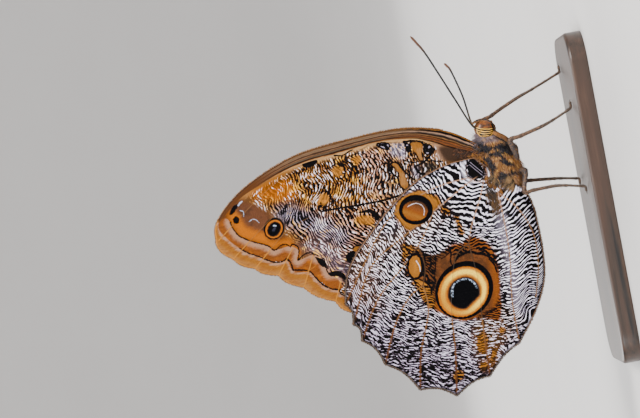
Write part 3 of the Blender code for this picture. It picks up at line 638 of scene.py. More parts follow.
def hindwing_stand_off(points):
    """The hindwing lies outside the forewing, and its inner part swells round the abdomen."""
    along = (ABDOMEN_FRONT[0] - HINGE[0] - points[:, 0]) / FLAP_LENGTH
    axis = ABDOMEN_FRONT[1] + STANCE - HINGE[1] + along * (ABDOMEN_TIP[1] - ABDOMEN_FRONT[1])
    across = np.exp(-(((points[:, 1] - axis) / FLAP_HALF_HEIGHT) ** 2))
    length = 1 / (1 + np.exp((along - FLAP_END) * FLAP_FADE))
    plain = forewing_stand_off(points) + LAYER
    swell = np.maximum(0.0, FLAP_SWELL - (plain - WING_CLEAR - LAYER))
    return plain + swell * across * length


def bend(stand_off, points, step):
    """How a bent wing leans at each point, forward and up, and how much thicker it measures along Y."""
    dx, dz = ((stand_off(points + move) - stand_off(points - move)) / (2 * step) for move in np.eye(2) * step)
    return dx, dz, np.sqrt(1 + dx * dx + dz * dz)


def vein_runs(veins, step):
    return {name: smooth_run(polar(pairs), step) for name, pairs in veins.items()}


def crest_lines(outline, veins, marks):
    """The veins and the thin lines of the markings, as far as they lie inside the outline."""
    shapes = (*marks["black"], *marks["white"], *marks.get("guide", ()))
    lines = [*vein_runs(veins, VEIN_MESH_STEP).values(), *(s.line for s in shapes if hasattr(s, "line"))]
    closed = closed_line(outline)
    crests = [line[inside(line, outline) & (nearest(line, closed)[0] > MESH_STEP)] for line in lines]
    return [crest for crest in crests if len(crest) > 1]


def with_feet(crest):
    """A crest and the lines of its two feet."""
    along = np.gradient(crest, axis=0)
    along /= np.hypot(*along.T)[:, None]
    across = np.column_stack((-along[:, 1], along[:, 0])) * VEIN_HALF_WIDTH
    return crest, (crest + across)[1:-1], (crest - across)[1:-1]


def even_grid(outline, crests):
    """Points in even rows inside an outline, clear of its edge and of the crests."""
    low, high = outline.min(0), outline.max(0)
    rows = np.arange(low[1], high[1], MESH_STEP * math.sqrt(0.75))
    columns = np.arange(low[0], high[0], MESH_STEP)
    grid = np.array([(x + 0.5 * MESH_STEP * (i % 2), z) for i, z in enumerate(rows) for x in columns])
    grid = grid[inside(grid, outline)]
    clear = nearest(grid, closed_line(outline))[0] > 0.5 * MESH_STEP
    for crest in crests:
        clear &= nearest(grid, crest)[0] > VEIN_HALF_WIDTH + 0.3 * MESH_STEP
    return grid[clear]


def wing_plan(outline, veins, marks):
    """Points and triangles of a wing in its own plane, with edges along each vein's crest and feet, and along
    the lines of its markings, so that a thin line isn't lost between points."""
    crests = crest_lines(outline, veins, marks)
    points = [outline]
    edges = []
    count = len(outline)
    for crest in crests:
        for run in with_feet(crest):
            edges += [(i, i + 1) for i in range(count, count + len(run) - 1)]
            points.append(run)
            count += len(run)
    points = np.vstack((*points, even_grid(outline, crests)))
    made = delaunay_2d_cdt([Vector(p) for p in points], edges, [list(range(len(outline)))], 1, 1e-4)
    return np.array([tuple(p) for p in made[0]]), np.array([tuple(face) for face in made[2]])


def flow(points, veins, *more):
    """How far out along the veins each point is, from the veins near it."""
    weights = 0.0
    total = 0.0
    lines = [line for name, line in vein_runs(veins, FLOW_STEP).items() if name not in NO_FLOW]
    for line in (*lines, *more):
        off, travel = nearest(points, line)
        weight = 1 / (off + FLOW_REACH) ** 3
        weights += weight
        total += weight * (travel + math.hypot(*line[0]))
    return total / weights


def tinted(ground, name, share):
    """Ground colours with a share of a named colour in them."""
    return ground + (np.array(linear(name)[:3]) - ground) * share[:, None]


def wash_over(points, base, washes):
    """The ground colour and the strength of the ripples on it."""
    ground = np.tile(linear(base)[:3], (len(points), 1))
    ripple = np.ones(len(points))
    for name, strength, soft, shape in washes:
        share = 1 - ease(shape(points), -soft, soft)
        ground = tinted(ground, name, share)
        ripple += (strength - ripple) * share
    return ground, ripple


def distance_fields(points, marks):
    """For each kind of mark, the distance from the nearest one."""
    return {name: np.min([shape(points) for shape in shapes], axis=0) for name, shapes in marks.items()}


def line_fields(points, veins, costa, outline):
    """The distances from the nearest vein, from the edge and from the front edge."""
    runs = vein_runs(veins, VEIN_FIELD_STEP).values()
    return {
        "vein": np.min([nearest(points, line)[0] for line in runs], axis=0),
        "edge": nearest(points, closed_line(outline))[0],
        "costa": nearest(points, smooth_run(polar(costa), COSTA_FIELD_STEP))[0],
    }


def folds(points, tips):
    """The distance from the nearest fold, which runs in from the margin midway between two vein tips."""
    middles = (np.array(tips[:-1]) + tips[1:]) / 2
    lines = [polar(((angle, reach - FOLD_LENGTH), (angle, reach + 1))) for angle, reach in middles]
    return np.min([nearest(points, line)[0] for line in lines], axis=0)


def ripple_phase(points, along, periods):
    """How many ripples lie between the hinge and each point."""
    angle = np.degrees(np.arctan2(*points.T))
    return along / np.interp(angle, *zip(*periods))


def forewing_fields(points, outline):
    """What the forewing's colours go by at each point."""
    along = flow(points, FOREWING_VEINS, smooth_run(polar(FOREWING_COSTA), FLOW_STEP))
    finer = along + 0.2 * np.maximum(0, along - 36)
    ground, ripple = wash_over(points, "tan", FORE_WASHES)
    fields = distance_fields(points, FORE_MARKS)
    fields.update(line_fields(points, FOREWING_VEINS, FOREWING_COSTA, outline))
    reach = np.hypot(*points.T)
    width = np.interp(reach, *zip(*FRONT_WIDTHS))
    below = fields["costa"] - width
    strip = (1 - ease(below, 0.4, 1.8)) * ease(reach, 14, 20) * (1 - ease(reach, 48, 58))
    ripple *= 0.15 + 0.85 * ease(fields["ochre"], -0.5, 0.4)
    fields.update(
        along=along,
        phase=ripple_phase(points, finer, FORE_PERIODS),
        bold=1 - ease(FORE_BOLD(points), -3, 3),
        outward=ease(reach, 40, 66) * 0.55,
        ground=tinted(ground, "straw", strip),
        ripple=ripple * ease(below, 0.1, 1.5),
        costa=fields["costa"] / width,
        fold=folds(points, FOREWING_TIPS),
        tip_eye=rings(points, *TIP_EYE),
        warm=1 - ease(fields["cream"], 1.0, 5.5),
        speckled=1 - ease(reach, 30, 34),
    )
    return fields


def hindwing_fields(points, outline):
    """What the hindwing's colours go by at each point."""
    edges = [smooth_run(polar(pairs), FLOW_STEP) for pairs in (HINDWING_INNER[::-1], HINDWING_COSTA)]
    along = flow(points, HINDWING_VEINS, *edges)
    finer = along + 0.3 * np.maximum(0, along - 36) + 0.27 * np.maximum(0, 20 - along)
    ground, ripple = wash_over(points, "lilac", HIND_WASHES)
    fields = distance_fields(points, HIND_MARKS)
    fields.update(line_fields(points, HINDWING_VEINS, HINDWING_COSTA, outline))
    fields.update(
        along=along,
        phase=ripple_phase(points, finer, HIND_PERIODS),
        bold=1 - ease(HIND_BOLD(points), -4, 4),
        outward=ease(np.hypot(*points.T), 38, 62),
        ground=ground,
        ripple=ripple,
        big_eye=rings(points, *HIND_EYE),
        upper_eye=rings(points, *UPPER_EYE),
        small_eye=rings(points, *SMALL_EYE),
        glint=EYE_GLINT(points),
        eye_side=(points - BIG_EYE_CENTRE) @ (-0.561, 0.816) / 7.0,
        disc=(points - UPPER_EYE_CENTRE) @ (0.85, -0.5) / 3.0,
        warm=1 - ease(WARM_FIELD(points), -0.8, 2.2),
    )
    return fields


class Shading:
    """A material's node tree, built with short calls. A value is a number, a socket or the name of a field
    of the mesh. A colour is a socket or a name in COLOURS."""

    def __init__(self, name, roughness=0.6, specular=0.5, sheen=0.0):
        self.material = bpy.data.materials.new(name)
        self.material.use_nodes = True
        self.tree = self.material.node_tree
        self.shader = self.tree.nodes["Principled BSDF"]
        self.shader.inputs["Roughness"].default_value = roughness
        self.shader.inputs["Specular IOR Level"].default_value = specular
        self.shader.inputs["Sheen Weight"].default_value = sheen

    def lacquer(self, weight, roughness):
        self.shader.inputs["Coat Weight"].default_value = weight
        self.shader.inputs["Coat Roughness"].default_value = roughness

    def put(self, socket, value):
        if isinstance(value, str):
            value = linear(value)
        if isinstance(value, bpy.types.NodeSocket):
            self.tree.links.new(value, socket)
        elif value is not None:
            socket.default_value = value

    def put_value(self, socket, value):
        self.put(socket, self.field(value) if isinstance(value, str) else value)

    def node(self, kind, **settings):
        made = self.tree.nodes.new(kind)
        for name, value in settings.items():
            setattr(made, name, value)
        return made

    def field(self, name):
        return self.node("ShaderNodeAttribute", attribute_name=name).outputs["Fac"]

    def colour_field(self, name):
        return self.node("ShaderNodeAttribute", attribute_name=name).outputs["Color"]

    def root(self):
        """Where the root of a hair is, in millimetres."""
        return self.node("ShaderNodeAttribute", attribute_name="root").outputs["Vector"]

    def math(self, operation, *values):
        made = self.node("ShaderNodeMath", operation=operation)
        for socket, value in zip(made.inputs, values):
            self.put_value(socket, value)
        return made.outputs[0]

    def times(self, a, b):
        return self.math("MULTIPLY", a, b)

    def plus(self, a, b):
        return self.math("ADD", a, b)

    def minus(self, a, b):
        return self.math("SUBTRACT", a, b)

    def scaled(self, value, factor, start):
        """The value times a factor, from a start."""
        return self.math("MULTIPLY_ADD", value, factor, start)

    def step(self, value, low, high):
        """0 at low and 1 at high, with a smooth rise between them. It falls where low is the larger."""
        made = self.node("ShaderNodeMapRange", interpolation_type="SMOOTHSTEP")
        self.put_value(made.inputs["Value"], value)
        made.inputs["From Min"].default_value = low
        made.inputs["From Max"].default_value = high
        return made.outputs["Result"]

    def mix(self, share, a, b):
        made = self.node("ShaderNodeMix", data_type="RGBA")
        self.put_value(made.inputs["Factor"], share)
        self.put(made.inputs[6], a)
        self.put(made.inputs[7], b)
        return made.outputs[2]

    def over(self, colour, tone, share, most=1.0):
        """A tone painted over a colour, by a share times its greatest strength."""
        return self.mix(share if most == 1.0 else self.times(share, most), colour, tone)

    def vector(self, x, y, z):
        made = self.node("ShaderNodeCombineXYZ")
        for socket, value in zip(made.inputs, (x, y, z)):
            self.put_value(socket, value)
        return made.outputs[0]

    def place(self, *stretch):
        """Where a point is in the object, in millimetres, stretched by a factor for each axis."""
        made = self.node("ShaderNodeVectorMath", operation="MULTIPLY")
        self.put(made.inputs[0], self.node("ShaderNodeTexCoord").outputs["Object"])
        made.inputs[1].default_value = [s / MM for s in (stretch or (1, 1, 1))]
        return made.outputs[0]

    def noise(self, vector, scale, detail=2.0, roughness=0.5):
        made = self.node("ShaderNodeTexNoise")
        self.put(made.inputs["Vector"], vector)
        made.inputs["Scale"].default_value = scale
        made.inputs["Detail"].default_value = detail
        made.inputs["Roughness"].default_value = roughness
        return made.outputs[0]

    def mottle(self, scale, detail=2.0, roughness=0.5):
        """Noise by the place in the object, with a scale in features for each millimetre."""
        return self.noise(self.place(), scale, detail, roughness)

    def ramp(self, value, stops, top=1.0):
        """A colour for each value, from (value, colour name) stops between 0 and top."""
        made = self.node("ShaderNodeValToRGB")
        points = made.color_ramp.elements
        while len(points) < len(stops):
            points.new(0.5)
        for point, (at, name) in zip(points, stops):
            point.position = at / top
            point.color = linear(name)
        self.put(made.inputs[0], value if top == 1.0 else self.math("DIVIDE", value, top))
        return made.outputs[0]

    def lit(self, colour, value):
        """A colour made darker or lighter by a factor."""
        made = self.node("ShaderNodeHueSaturation")
        self.put(made.inputs["Color"], colour)
        self.put_value(made.inputs["Value"], value)
        return made.outputs[0]

    def bump(self, height, distance, strength, before=None):
        """The normal over a relief, where a height of 1 stands up by a distance in millimetres."""
        made = self.node("ShaderNodeBump")
        made.inputs["Strength"].default_value = strength
        made.inputs["Distance"].default_value = distance * MM
        self.put(made.inputs["Height"], height)
        self.put(made.inputs["Normal"], before)
        return made.outputs[0]

    def finish(self, colour, normal=None):
        self.put(self.shader.inputs["Base Color"], colour)
        self.put(self.shader.inputs["Normal"], normal)
        return self.material


def rippled(shade, blotch, dark_at, light_at, dab, lag, pale, most):
    """The ripples that cross the ground between the veins: the ground with its pale ripples on it, how dark
    each place is, a jitter for the edges of marks and the height of the ripples. blotch is how much darker
    some parts are than others, dark_at and light_at are the heights where dark and pale begin, dab is how
    short the ripples are, lag is the turn by which a pale ripple follows its dark one, and most is how strong
    the pale ones are."""

    def streaks(by_phase, by_across, detail):
        place = shade.vector(shade.times("phase", by_phase), shade.times("across", by_across), 0.0)
        return shade.minus(shade.noise(place, 1.0, detail, 0.6), 0.5)

    def eased(value, plain, when_bold):
        """The value times one factor where the ripples are plain, and another where they are bold."""
        return shade.times(value, shade.scaled("bold", when_bold - plain, plain))

    wandering = shade.scaled(streaks(0.1, 0.1, 0.0), 5.0, "phase")
    wandering = shade.plus(eased(streaks(0.3, 0.5, 1.0), 2.2, 1.3), wandering)

    def wave(behind):
        turn = shade.scaled(wandering, 2 * math.pi, behind)
        size = shade.scaled("outward", -0.5, 1.0)
        return eased(shade.times(shade.math("SINE", turn), size), 1.0, 1.3)

    broken = shade.times(streaks(1.5, dab, 2.0), shade.scaled("outward", -1.0, 7.4))
    broken = eased(broken, 1.0, 0.62)
    frayed = eased(shade.minus(shade.mottle(2.7, 3.0, 0.7), 0.5), 1.7, 0.9)
    shadow = shade.scaled(shade.mottle(0.26, 2.0, 0.6), blotch, -0.5 * blotch)
    darker = shade.times("bold", shade.step("along", 9.0, 16.0))
    shadow = shade.scaled(darker, 0.4, shadow)
    rest = shade.plus(shade.plus(broken, frayed), shadow)
    height = shade.plus(wave(0.0), rest)
    dark = shade.times(shade.step(height, dark_at, dark_at + 0.35), "ripple")
    low = shade.minus(wave(lag), rest)
    light = shade.times(shade.step(low, light_at, light_at + 0.4), shade.step("ripple", 0.2, 0.6))
    ground = shade.over(shade.colour_field("ground"), pale, light, most)
    jitter = shade.scaled(shade.mottle(2.6, 2.0, 0.6), 0.6, -0.3)
    return ground, dark, jitter, height


def outlined(shade, colour, name, jitter, half_width):
    """A broken dark line round the marks of one colour."""
    off = shade.math("ABSOLUTE", shade.plus(name, jitter))
    line = shade.step(off, half_width + MARK_SOFT, half_width - MARK_SOFT)
    gaps = shade.step(shade.mottle(0.55, 1.0), 0.42, 0.56)
    return shade.over(colour, "black", shade.times(line, gaps))


def mark(shade, colour, name, tone, jitter, soft=MARK_SOFT, most=1.0):
    """The marks of one name over a colour. The jitter roughens their edges."""
    within = shade.step(shade.plus(name, jitter), soft, -soft)
    return shade.over(colour, tone, within, most)


def wing_relief(shade, height):
    """Rows of scales, and the ripples standing very slightly proud."""
    rows = shade.bump(shade.mottle(9.0, 2.0, 0.7), 0.05, 0.55)
    return shade.bump(height, 0.02, 0.4, rows)


def wing_scales(shade, colour):
    """Single scales a little lighter and darker than their neighbours."""
    value = shade.node("ShaderNodeMapRange")
    shade.put(value.inputs["Value"], shade.mottle(5.5, 2.0, 0.75))
    for name, number in (("From Min", 0.3), ("From Max", 0.7), ("To Min", 0.76), ("To Max", 1.2)):
        value.inputs[name].default_value = number
    return shade.lit(colour, value.outputs["Result"])


def ring_paint(shade, colour, name, count, stops):
    """An eyespot's rings over the colour, out to its last boundary."""
    at = shade.plus(name, shade.scaled(shade.mottle(1.6, 3.0, 0.7), 0.16, -0.08))
    within = shade.step(at, count + 0.05, count - 0.05)
    return shade.over(colour, shade.ramp(at, stops, count + 1.0), within)


def hind_marks(shade, ground, dark, jitter, patches):
    """The hindwing's brown field, its ochre and black marks and two pale lines. Also where the field is."""
    rough = shade.times(jitter, 2.6)
    brown = shade.mix(shade.step(patches, 0.42, 0.6), "brown", "rust")
    flecks = shade.step(shade.mottle(2.2, 2.0, 0.7), 0.52, 0.66)
    brown = shade.over(brown, "umber", shade.scaled(flecks, 0.4, 0.15))
    brown = shade.over(brown, "amber", "warm")
    field = shade.step(shade.plus("brown", rough), 0.5, -0.5)
    colour = shade.over(ground, brown, field)
    ochre = shade.mix(shade.step(patches, 0.4, 0.6), "gold", "ochre")
    colour = mark(shade, colour, "ochre", ochre, rough, 0.4)
    colour = shade.over(colour, "black", dark)
    colour = outlined(shade, colour, "ochre", rough, 0.16)
    colour = mark(shade, colour, "black", "black", jitter)
    pair = shade.step(shade.math("ABSOLUTE", shade.minus("guide", 0.32)), 0.1, 0.02)
    pair = shade.times(pair, shade.step("black", -0.3, -0.5))
    return shade.over(colour, "silver", pair, 0.75), field


def hind_veins(shade, colour, field):
    """The hindwing's veins, browner outwards and on its brown field, and its pale front edge."""
    tone = shade.mix(shade.step("along", 12.0, 32.0), "dusk", "vein")
    tone = shade.over(tone, "brown", "outward")
    tone = shade.over(tone, "umber", field, 0.85)
    width = shade.scaled("outward", 0.1, 0.14)
    line = shade.step(shade.minus("vein", width), 0.1, -0.05)
    beside = shade.times(shade.times(shade.step("vein", 0.5, 0.15), "outward"), 0.4)
    line = shade.times(shade.math("MAXIMUM", line, beside), shade.step("along", 6.0, 9.0))
    colour = shade.over(colour, tone, line, 0.9)
    front = shade.times(shade.step("costa", 0.3, 0.12), shade.step("along", 8.0, 14.0))
    return shade.over(colour, "tan", front)


def big_eye(shade, colour, speck):
    """The big eyespot: rings, warmer on one side, with a glint on the pupil and veins faintly over it."""
    colour = ring_paint(shade, colour, "big_eye", 3, BIG_EYE_TONES)
    ring = shade.times(shade.step("big_eye", 1.08, 1.2), shade.step("big_eye", 1.96, 1.86))
    warmer = shade.times(ring, shade.step("eye_side", -0.3, 0.9))
    colour = shade.over(colour, "orange", warmer, 0.75)
    glint = shade.times(shade.step("glint", 0.14, -0.22), speck)
    colour = shade.over(colour, "glint", shade.times(glint, shade.step("big_eye", 1.0, 0.9)))
    veins = shade.times(shade.step("vein", 0.14, 0.06), shade.step("big_eye", 3.0, 2.9))
    return shade.over(colour, "grey", veins, 0.4)


def lesser_eyes(shade, colour, jitter, patches):
    """The hindwing's orange disc with a dark rim, and its small pale eyespot."""
    disc = shade.plus(shade.scaled("disc", 0.4, 0.5), shade.times(jitter, 0.2))
    disc = shade.ramp(disc, DISC_TONES)
    at = shade.plus("upper_eye", shade.times(jitter, 0.4))
    disc = shade.over(disc, "ink", shade.step(at, 0.92, 1.08))
    colour = shade.over(colour, disc, shade.step(at, 2.08, 1.92))
    colour = ring_paint(shade, colour, "small_eye", 2, SMALL_EYE_TONES)
    mottled = shade.times(shade.step(patches, 0.52, 0.6), shade.step("small_eye", 1.0, 0.9))
    return shade.over(colour, "gold", mottled, 0.6)


def hindwing_material():
    shade = Shading("hindwing_scales", 0.8, 0.05)
    pale = shade.mix("outward", "white", "pearl")
    ground, dark, jitter, height = rippled(
        shade, blotch=1.5, dark_at=-0.47, light_at=0.4, dab=0.5, lag=math.pi, pale=pale, most=0.9
    )
    patches = shade.mottle(0.33, 3.0, 0.6)
    speck = shade.step(shade.mottle(3.0, 2.0, 0.7), 0.45, 0.62)
    colour, field = hind_marks(shade, ground, dark, jitter, patches)
    colour = hind_veins(shade, colour, field)
    colour = big_eye(shade, colour, speck)
    colour = lesser_eyes(shade, colour, jitter, patches)
    colour = mark(shade, colour, "white", "white", shade.scaled(speck, -0.08, 0.03), 0.05, 0.6)
    edge = shade.plus("edge", shade.times(jitter, 0.5))
    colour = shade.over(colour, "ink", shade.step(edge, 0.75, 0.5), 0.8)
    rim = shade.mix(shade.step("outward", 0.1, 0.9), "bark", "grey")
    colour = shade.over(colour, rim, shade.step(edge, 0.32, 0.14))
    return shade.finish(wing_scales(shade, colour), wing_relief(shade, height))


def fore_marks(shade, ground, dark, jitter, worn):
    """The forewing's brown tip, its ochre and tan marks, and the dark ripples among them."""
    rough = shade.times(jitter, 2.0)
    patches = shade.mottle(0.42, 2.0, 0.6)
    apex = shade.over("red_brown", "umber", shade.step(patches, 0.45, 0.65), 0.5)
    heat = shade.plus("warm", shade.times(jitter, 0.7))
    apex = shade.over(apex, "orange", shade.step(heat, 0.25, 0.95))
    colour = mark(shade, ground, "brown", apex, rough, 1.3)
    ochre = shade.mix(shade.step(patches, 0.4, 0.6), "gold", "tan")
    colour = mark(shade, colour, "ochre", ochre, jitter, 0.25)
    colour = mark(shade, colour, "tan", "sand", jitter, 0.3)
    colour = shade.over(colour, "black", dark)
    core = shade.mix(shade.step(worn, 0.4, 0.6), "gold", "sand")
    colour = mark(shade, colour, "tan", core, shade.plus(rough, 0.4), 0.4, 0.65)
    return outlined(shade, colour, "ochre", jitter, 0.2)


def fore_margin(shade, colour, jitter):
    """The forewing's margin and the orange band inside it, both with a grain that runs in from the edge."""
    fine = shade.times(jitter, 0.6)
    grain = shade.noise(shade.vector(shade.times("edge", 0.4), "across", 0.0), 1.3, 3.0, 0.7)
    depth = shade.scaled(grain, -1.6, shade.plus(shade.plus("margin", jitter), 0.8))
    fringe = shade.ramp(shade.scaled(depth, 0.25, 1.0), MARGIN_TONES)
    fringe = shade.over(fringe, "amber", shade.step(grain, 0.42, 0.62), 0.6)
    colour = mark(shade, colour, "margin", fringe, fine, 0.1)
    band = shade.mix(shade.step(shade.mottle(0.5, 3.0), 0.2, 0.5), "orange", "amber")
    band = shade.over(band, "brown", shade.step(grain, 0.45, 0.6), 0.4)
    colour = mark(shade, colour, "orange", band, fine, 0.12)
    off = shade.scaled(grain, 1.2, shade.plus("cream", shade.times(jitter, 1.5)))
    pale_edge = shade.times(shade.step(off, 2.5, 1.0), shade.step("orange", 0.1, -0.1))
    return shade.over(colour, "dusk", pale_edge, 0.85)


def fore_veins(shade, colour):
    """The forewing's veins, and the pale folds between them on its band and margin."""
    tone = shade.mix(shade.step("along", 50.0, 56.0), "umber", "vein")
    line = shade.times(shade.step("vein", 0.16, 0.06), shade.step("black", -0.1, 0.15))
    colour = shade.over(colour, tone, line, 0.45)
    fold = shade.times(shade.step("fold", 0.2, 0.05), 0.6)
    line = shade.math("MAXIMUM", shade.step("vein", 0.22, 0.08), fold)
    outer = shade.math("MAXIMUM", shade.step("orange", 0.3, -0.3), shade.step("margin", 0.3, -0.3))
    return shade.over(colour, "sand", shade.times(line, outer), 0.7)


def fore_front(shade, colour):
    """The stripes along the forewing's front edge, darker near its root and brown near its tip."""
    streak = shade.noise(shade.vector(shade.times("along", 0.05), "costa", 0.0), 7.0, 4.0, 0.65)
    at = shade.plus("costa", shade.scaled(streak, 0.2, -0.1))
    bands = shade.ramp(at, FRONT_TONES, FRONT_TOP)
    near = shade.ramp(at, FRONT_ROOT_TONES, FRONT_TOP)
    bands = shade.over(bands, "brown", shade.step("along", 56.0, 72.0))
    bands = shade.over(bands, near, shade.step("along", 36.0, 14.0))
    return shade.over(colour, bands, shade.step("costa", 1.06, 0.98))


def forewing_material():
    shade = Shading("forewing_scales", 0.8, 0.05)
    worn = shade.mottle(0.3, 2.0, 0.6)
    pale = shade.mix(shade.step(worn, 0.42, 0.58), "cream", "white")
    ground, dark, jitter, height = rippled(
        shade, blotch=3.6, dark_at=-0.2, light_at=0.75, dab=0.62, lag=2.3, pale=pale, most=0.9
    )
    mottled = shade.step(shade.mottle(0.55, 3.0, 0.65), 0.5, 0.66)
    ground = shade.over(ground, "rust", shade.times(mottled, "ripple"), 0.5)
    colour = fore_marks(shade, ground, dark, jitter, worn)
    colour = fore_margin(shade, colour, jitter)
    colour = mark(shade, colour, "black", "black", jitter)
    dots = shade.times(shade.step("black", -0.35, -0.7), "speckled")
    spots = shade.step(shade.mottle(1.4, 1.0), 0.58, 0.64)
    colour = shade.over(colour, "silver", shade.times(dots, spots))
    colour = ring_paint(shade, colour, "tip_eye", 3, TIP_EYE_TONES)
    colour = fore_veins(shade, colour)
    colour = fore_front(shade, colour)
    colour = mark(shade, colour, "white", "glint", shade.times(jitter, 0.6), 0.12, 0.65)
    rim = shade.mix(shade.step("margin", 0.5, -0.5), "umber", "sand")
    colour = shade.over(colour, rim, shade.step("edge", 0.36, 0.2), 0.7)
    return shade.finish(wing_scales(shade, colour), wing_relief(shade, height))


def upper_side_material():
    """The upper side of the wings, which closed wings hide: brown, with a violet cast and an ochre margin."""
    shade = Shading("wing_upper_side", 0.75, 0.1)
    tone = shade.mix(shade.step("edge", 1.0, 9.0), "ochre", "umber")
    tone = shade.over(tone, "slate", shade.step("along", 48.0, 12.0), 0.5)
    return shade.finish(wing_scales(shade, tone), wing_relief(shade, shade.mottle(2.0)))


def hair_material(name, fleshy):
    """The coat's colours, on the skin (fleshy) or on the tufts, both from the place of the root."""
    shade = Shading(name, 0.75, 0.2, 0.0 if fleshy else 0.06)
    patch = shade.noise(shade.root(), 0.62, 3.0, 0.6)
    fine = shade.noise(shade.root(), 2.4, 2.0, 0.7)
    off = shade.plus("dark", shade.scaled(fine, 1.6, -0.8))
    colour = shade.mix(shade.step(off, 0.25, -0.1), shade.ramp(fine, TAN_HAIR), shade.ramp(fine, DARK_HAIR))
    colour = shade.over(colour, "umber", "low", 0.55)
    colour = shade.over(colour, shade.mix(fine, "slate", "lilac"), "high", 0.8)
    colour = shade.over(colour, shade.ramp(patch, REAR_HAIR), "rear")
    colour = shade.over(colour, shade.ramp(patch, FACE_HAIR), "head")
    colour = shade.over(colour, shade.mix(fine, "grey", "silver"), "collar", 0.8)
    if fleshy:
        return shade.finish(shade.over(colour, "umber", 0.45), shade.bump(fine, 0.1, 0.6))
    # painted shade at the root of each tuft and a painted highlight at its tip, times a random tone for each
    # tuft
    painted_light_and_tone = shade.times(shade.scaled("tip", 0.6, 0.72), shade.scaled("tuft", 0.5, 0.75))
    return shade.finish(shade.lit(colour, painted_light_and_tone))


def eye_material():
    """Amber above, with black and cream stripes across the lower half, dark ahead, and a cream rim below."""
    shade = Shading("compound_eye", 0.34, 0.22)
    shade.lacquer(0.12, 0.12)
    u, v = shade.field("across_eye"), shade.field("up_eye")
    bowl = shade.scaled(shade.times(u, u), -0.09, v)
    waver = shade.times(shade.mottle(0.7, 1.0), 0.4)
    wave = shade.math("SINE", shade.times(shade.plus(bowl, waver), 2 * math.pi / EYE_STRIPE))
    striped = shade.mix(shade.step(wave, 0.4, 0.75), "black", "cream")
    glow = shade.ramp(shade.noise(shade.place(1.0, 1.0, 0.5), 1.1, 3.0, 0.65), EYE_GLOW)
    colour = shade.mix(shade.step(bowl, 0.3, 0.2), glow, striped)
    ahead = shade.step(shade.minus(u, shade.times(v, 0.5)), 0.6, 1.2)
    colour = shade.over(colour, "black", shade.times(ahead, shade.step("rim", 0.8, 0.84)))
    below = shade.step(v, -0.2, -1.0)
    colour = shade.over(colour, "black", shade.times(shade.step("rim", 0.8, 0.83), below))
    colour = shade.over(colour, "cream", shade.times(shade.step("rim", 0.86, 0.89), below))
    colour = shade.over(colour, "black", shade.step("rim", 0.95, 0.97))
    facets = shade.node("ShaderNodeTexVoronoi", feature="DISTANCE_TO_EDGE")
    shade.put(facets.inputs["Vector"], shade.place())
    facets.inputs["Scale"].default_value = 14.0
    return shade.finish(colour, shade.bump(facets.outputs["Distance"], 0.02, 0.12))


def leg_material():
    """Scaled legs: dark at the hip, pinkish brown at the shin and greyer towards the foot, with speckles."""
    shade = Shading("leg_scales", 0.6, 0.4)
    speckle = shade.mottle(2.4, 3.0, 0.7)
    hip, shin, foot = (shade.ramp(speckle, tones) for tones in (HIP_TONES, SHIN_TONES, FOOT_TONES))
    colour = shade.mix(shade.step("down", 0.26, 0.36), hip, shin)
    colour = shade.over(colour, foot, shade.step("down", 0.5, 0.75))
    colour = shade.over(colour, "umber", "joint", 0.7)
    return shade.finish(colour, shade.bump(speckle, 0.08, 0.7))


def three_tone(name, tones):
    """A material for tufts of one lock: darker at the root as painted shade and lighter at the tip as a
    painted highlight, with tones that run in strands.
    """
    shade = Shading(name, 0.7, 0.15, 0.05)
    strand = shade.scaled("tuft", 0.2, shade.noise(shade.root(), 2.2, 1.0))
    colour = shade.ramp(strand, tuple(zip((0.5, 0.6, 0.72), tones)))
    # painted shade at the root and a painted highlight at the tip
    return shade.finish(shade.lit(colour, shade.scaled("tip", 0.5, 0.6)))


def brush_material(name, dark, fair):
    """Mottled hair with a dark line along the limb, darker at the root as painted shade and lighter at the
    tip as a painted highlight.
    """
    shade = Shading(name, 0.72, 0.3, 0.2)
    fine = shade.noise(shade.root(), 1.8, 2.0, 0.6)
    colour = shade.ramp(fine, ((0.35, dark), (0.5, "ochre"), (0.68, fair)))
    line = shade.plus("line", shade.scaled(fine, 0.12, -0.06))
    colour = shade.over(colour, "black", shade.step(line, 0.16, 0.1))
    # painted shade at the roots and on the core under the hair, and a painted highlight at the tips
    return shade.finish(shade.lit(colour, shade.scaled("tip", 0.4, 0.7)), shade.bump(fine, 0.06, 0.5))


def antenna_material():
    """Dark rings, paler beneath near the head, and a reddish club."""
    shade = Shading("antenna_rings", 0.45, 0.4)
    rings = shade.math("SINE", shade.times("travel", 2 * math.pi / ANTENNA_RING))
    colour = shade.over("ink", "umber", shade.step(rings, 0.75, 0.95), 0.25)
    colour = shade.over(colour, "red_brown", "club")
    pale = shade.times("under", shade.step(rings, 0.0, -0.5))
    return shade.finish(shade.over(colour, "cream", pale, 0.25))


def proboscis_material():
    shade = Shading("proboscis_horn", 0.35, 0.5)
    rings = shade.math("SINE", shade.times("travel", 2 * math.pi / PROBOSCIS_RING))
    colour = shade.mix(shade.step(rings, -0.4, 0.4), "umber", "red_brown")
    return shade.finish(colour, shade.bump(rings, 0.02, 0.5))


def wood_material():
    """Dark walnut with its grain along the board."""
    shade = Shading("walnut", 0.42, 0.45)
    shade.lacquer(0.25, 0.25)
    wander = shade.noise(shade.place(0.02, 0.05, 0.05), 1.0, 3.0)
    stripes = shade.noise(shade.place(0.025, 0.5, 0.5), 1.0, 4.0, 0.6)
    fibres = shade.noise(shade.place(0.06, 3.0, 3.0), 1.0, 3.0, 0.7)
    colour = shade.ramp(shade.plus(shade.times(stripes, 0.7), shade.times(wander, 0.3)), WOOD_TONES)
    colour = shade.over(colour, "black", shade.step(fibres, 0.58, 0.7), 0.45)
    return shade.finish(colour, shade.bump(fibres, 0.05, 0.4))


def floor_material():
    shade = Shading("studio_floor", 0.9, 0.2)
    soft = shade.noise(shade.place(0.01, 0.01, 0.01), 1.0)
    return shade.finish(shade.over("studio", "grey", soft, 0.06))


def linked(name, data):
    """A new object in the scene."""
    obj = bpy.data.objects.new(name, data)
    bpy.context.scene.collection.objects.link(obj)
    return obj


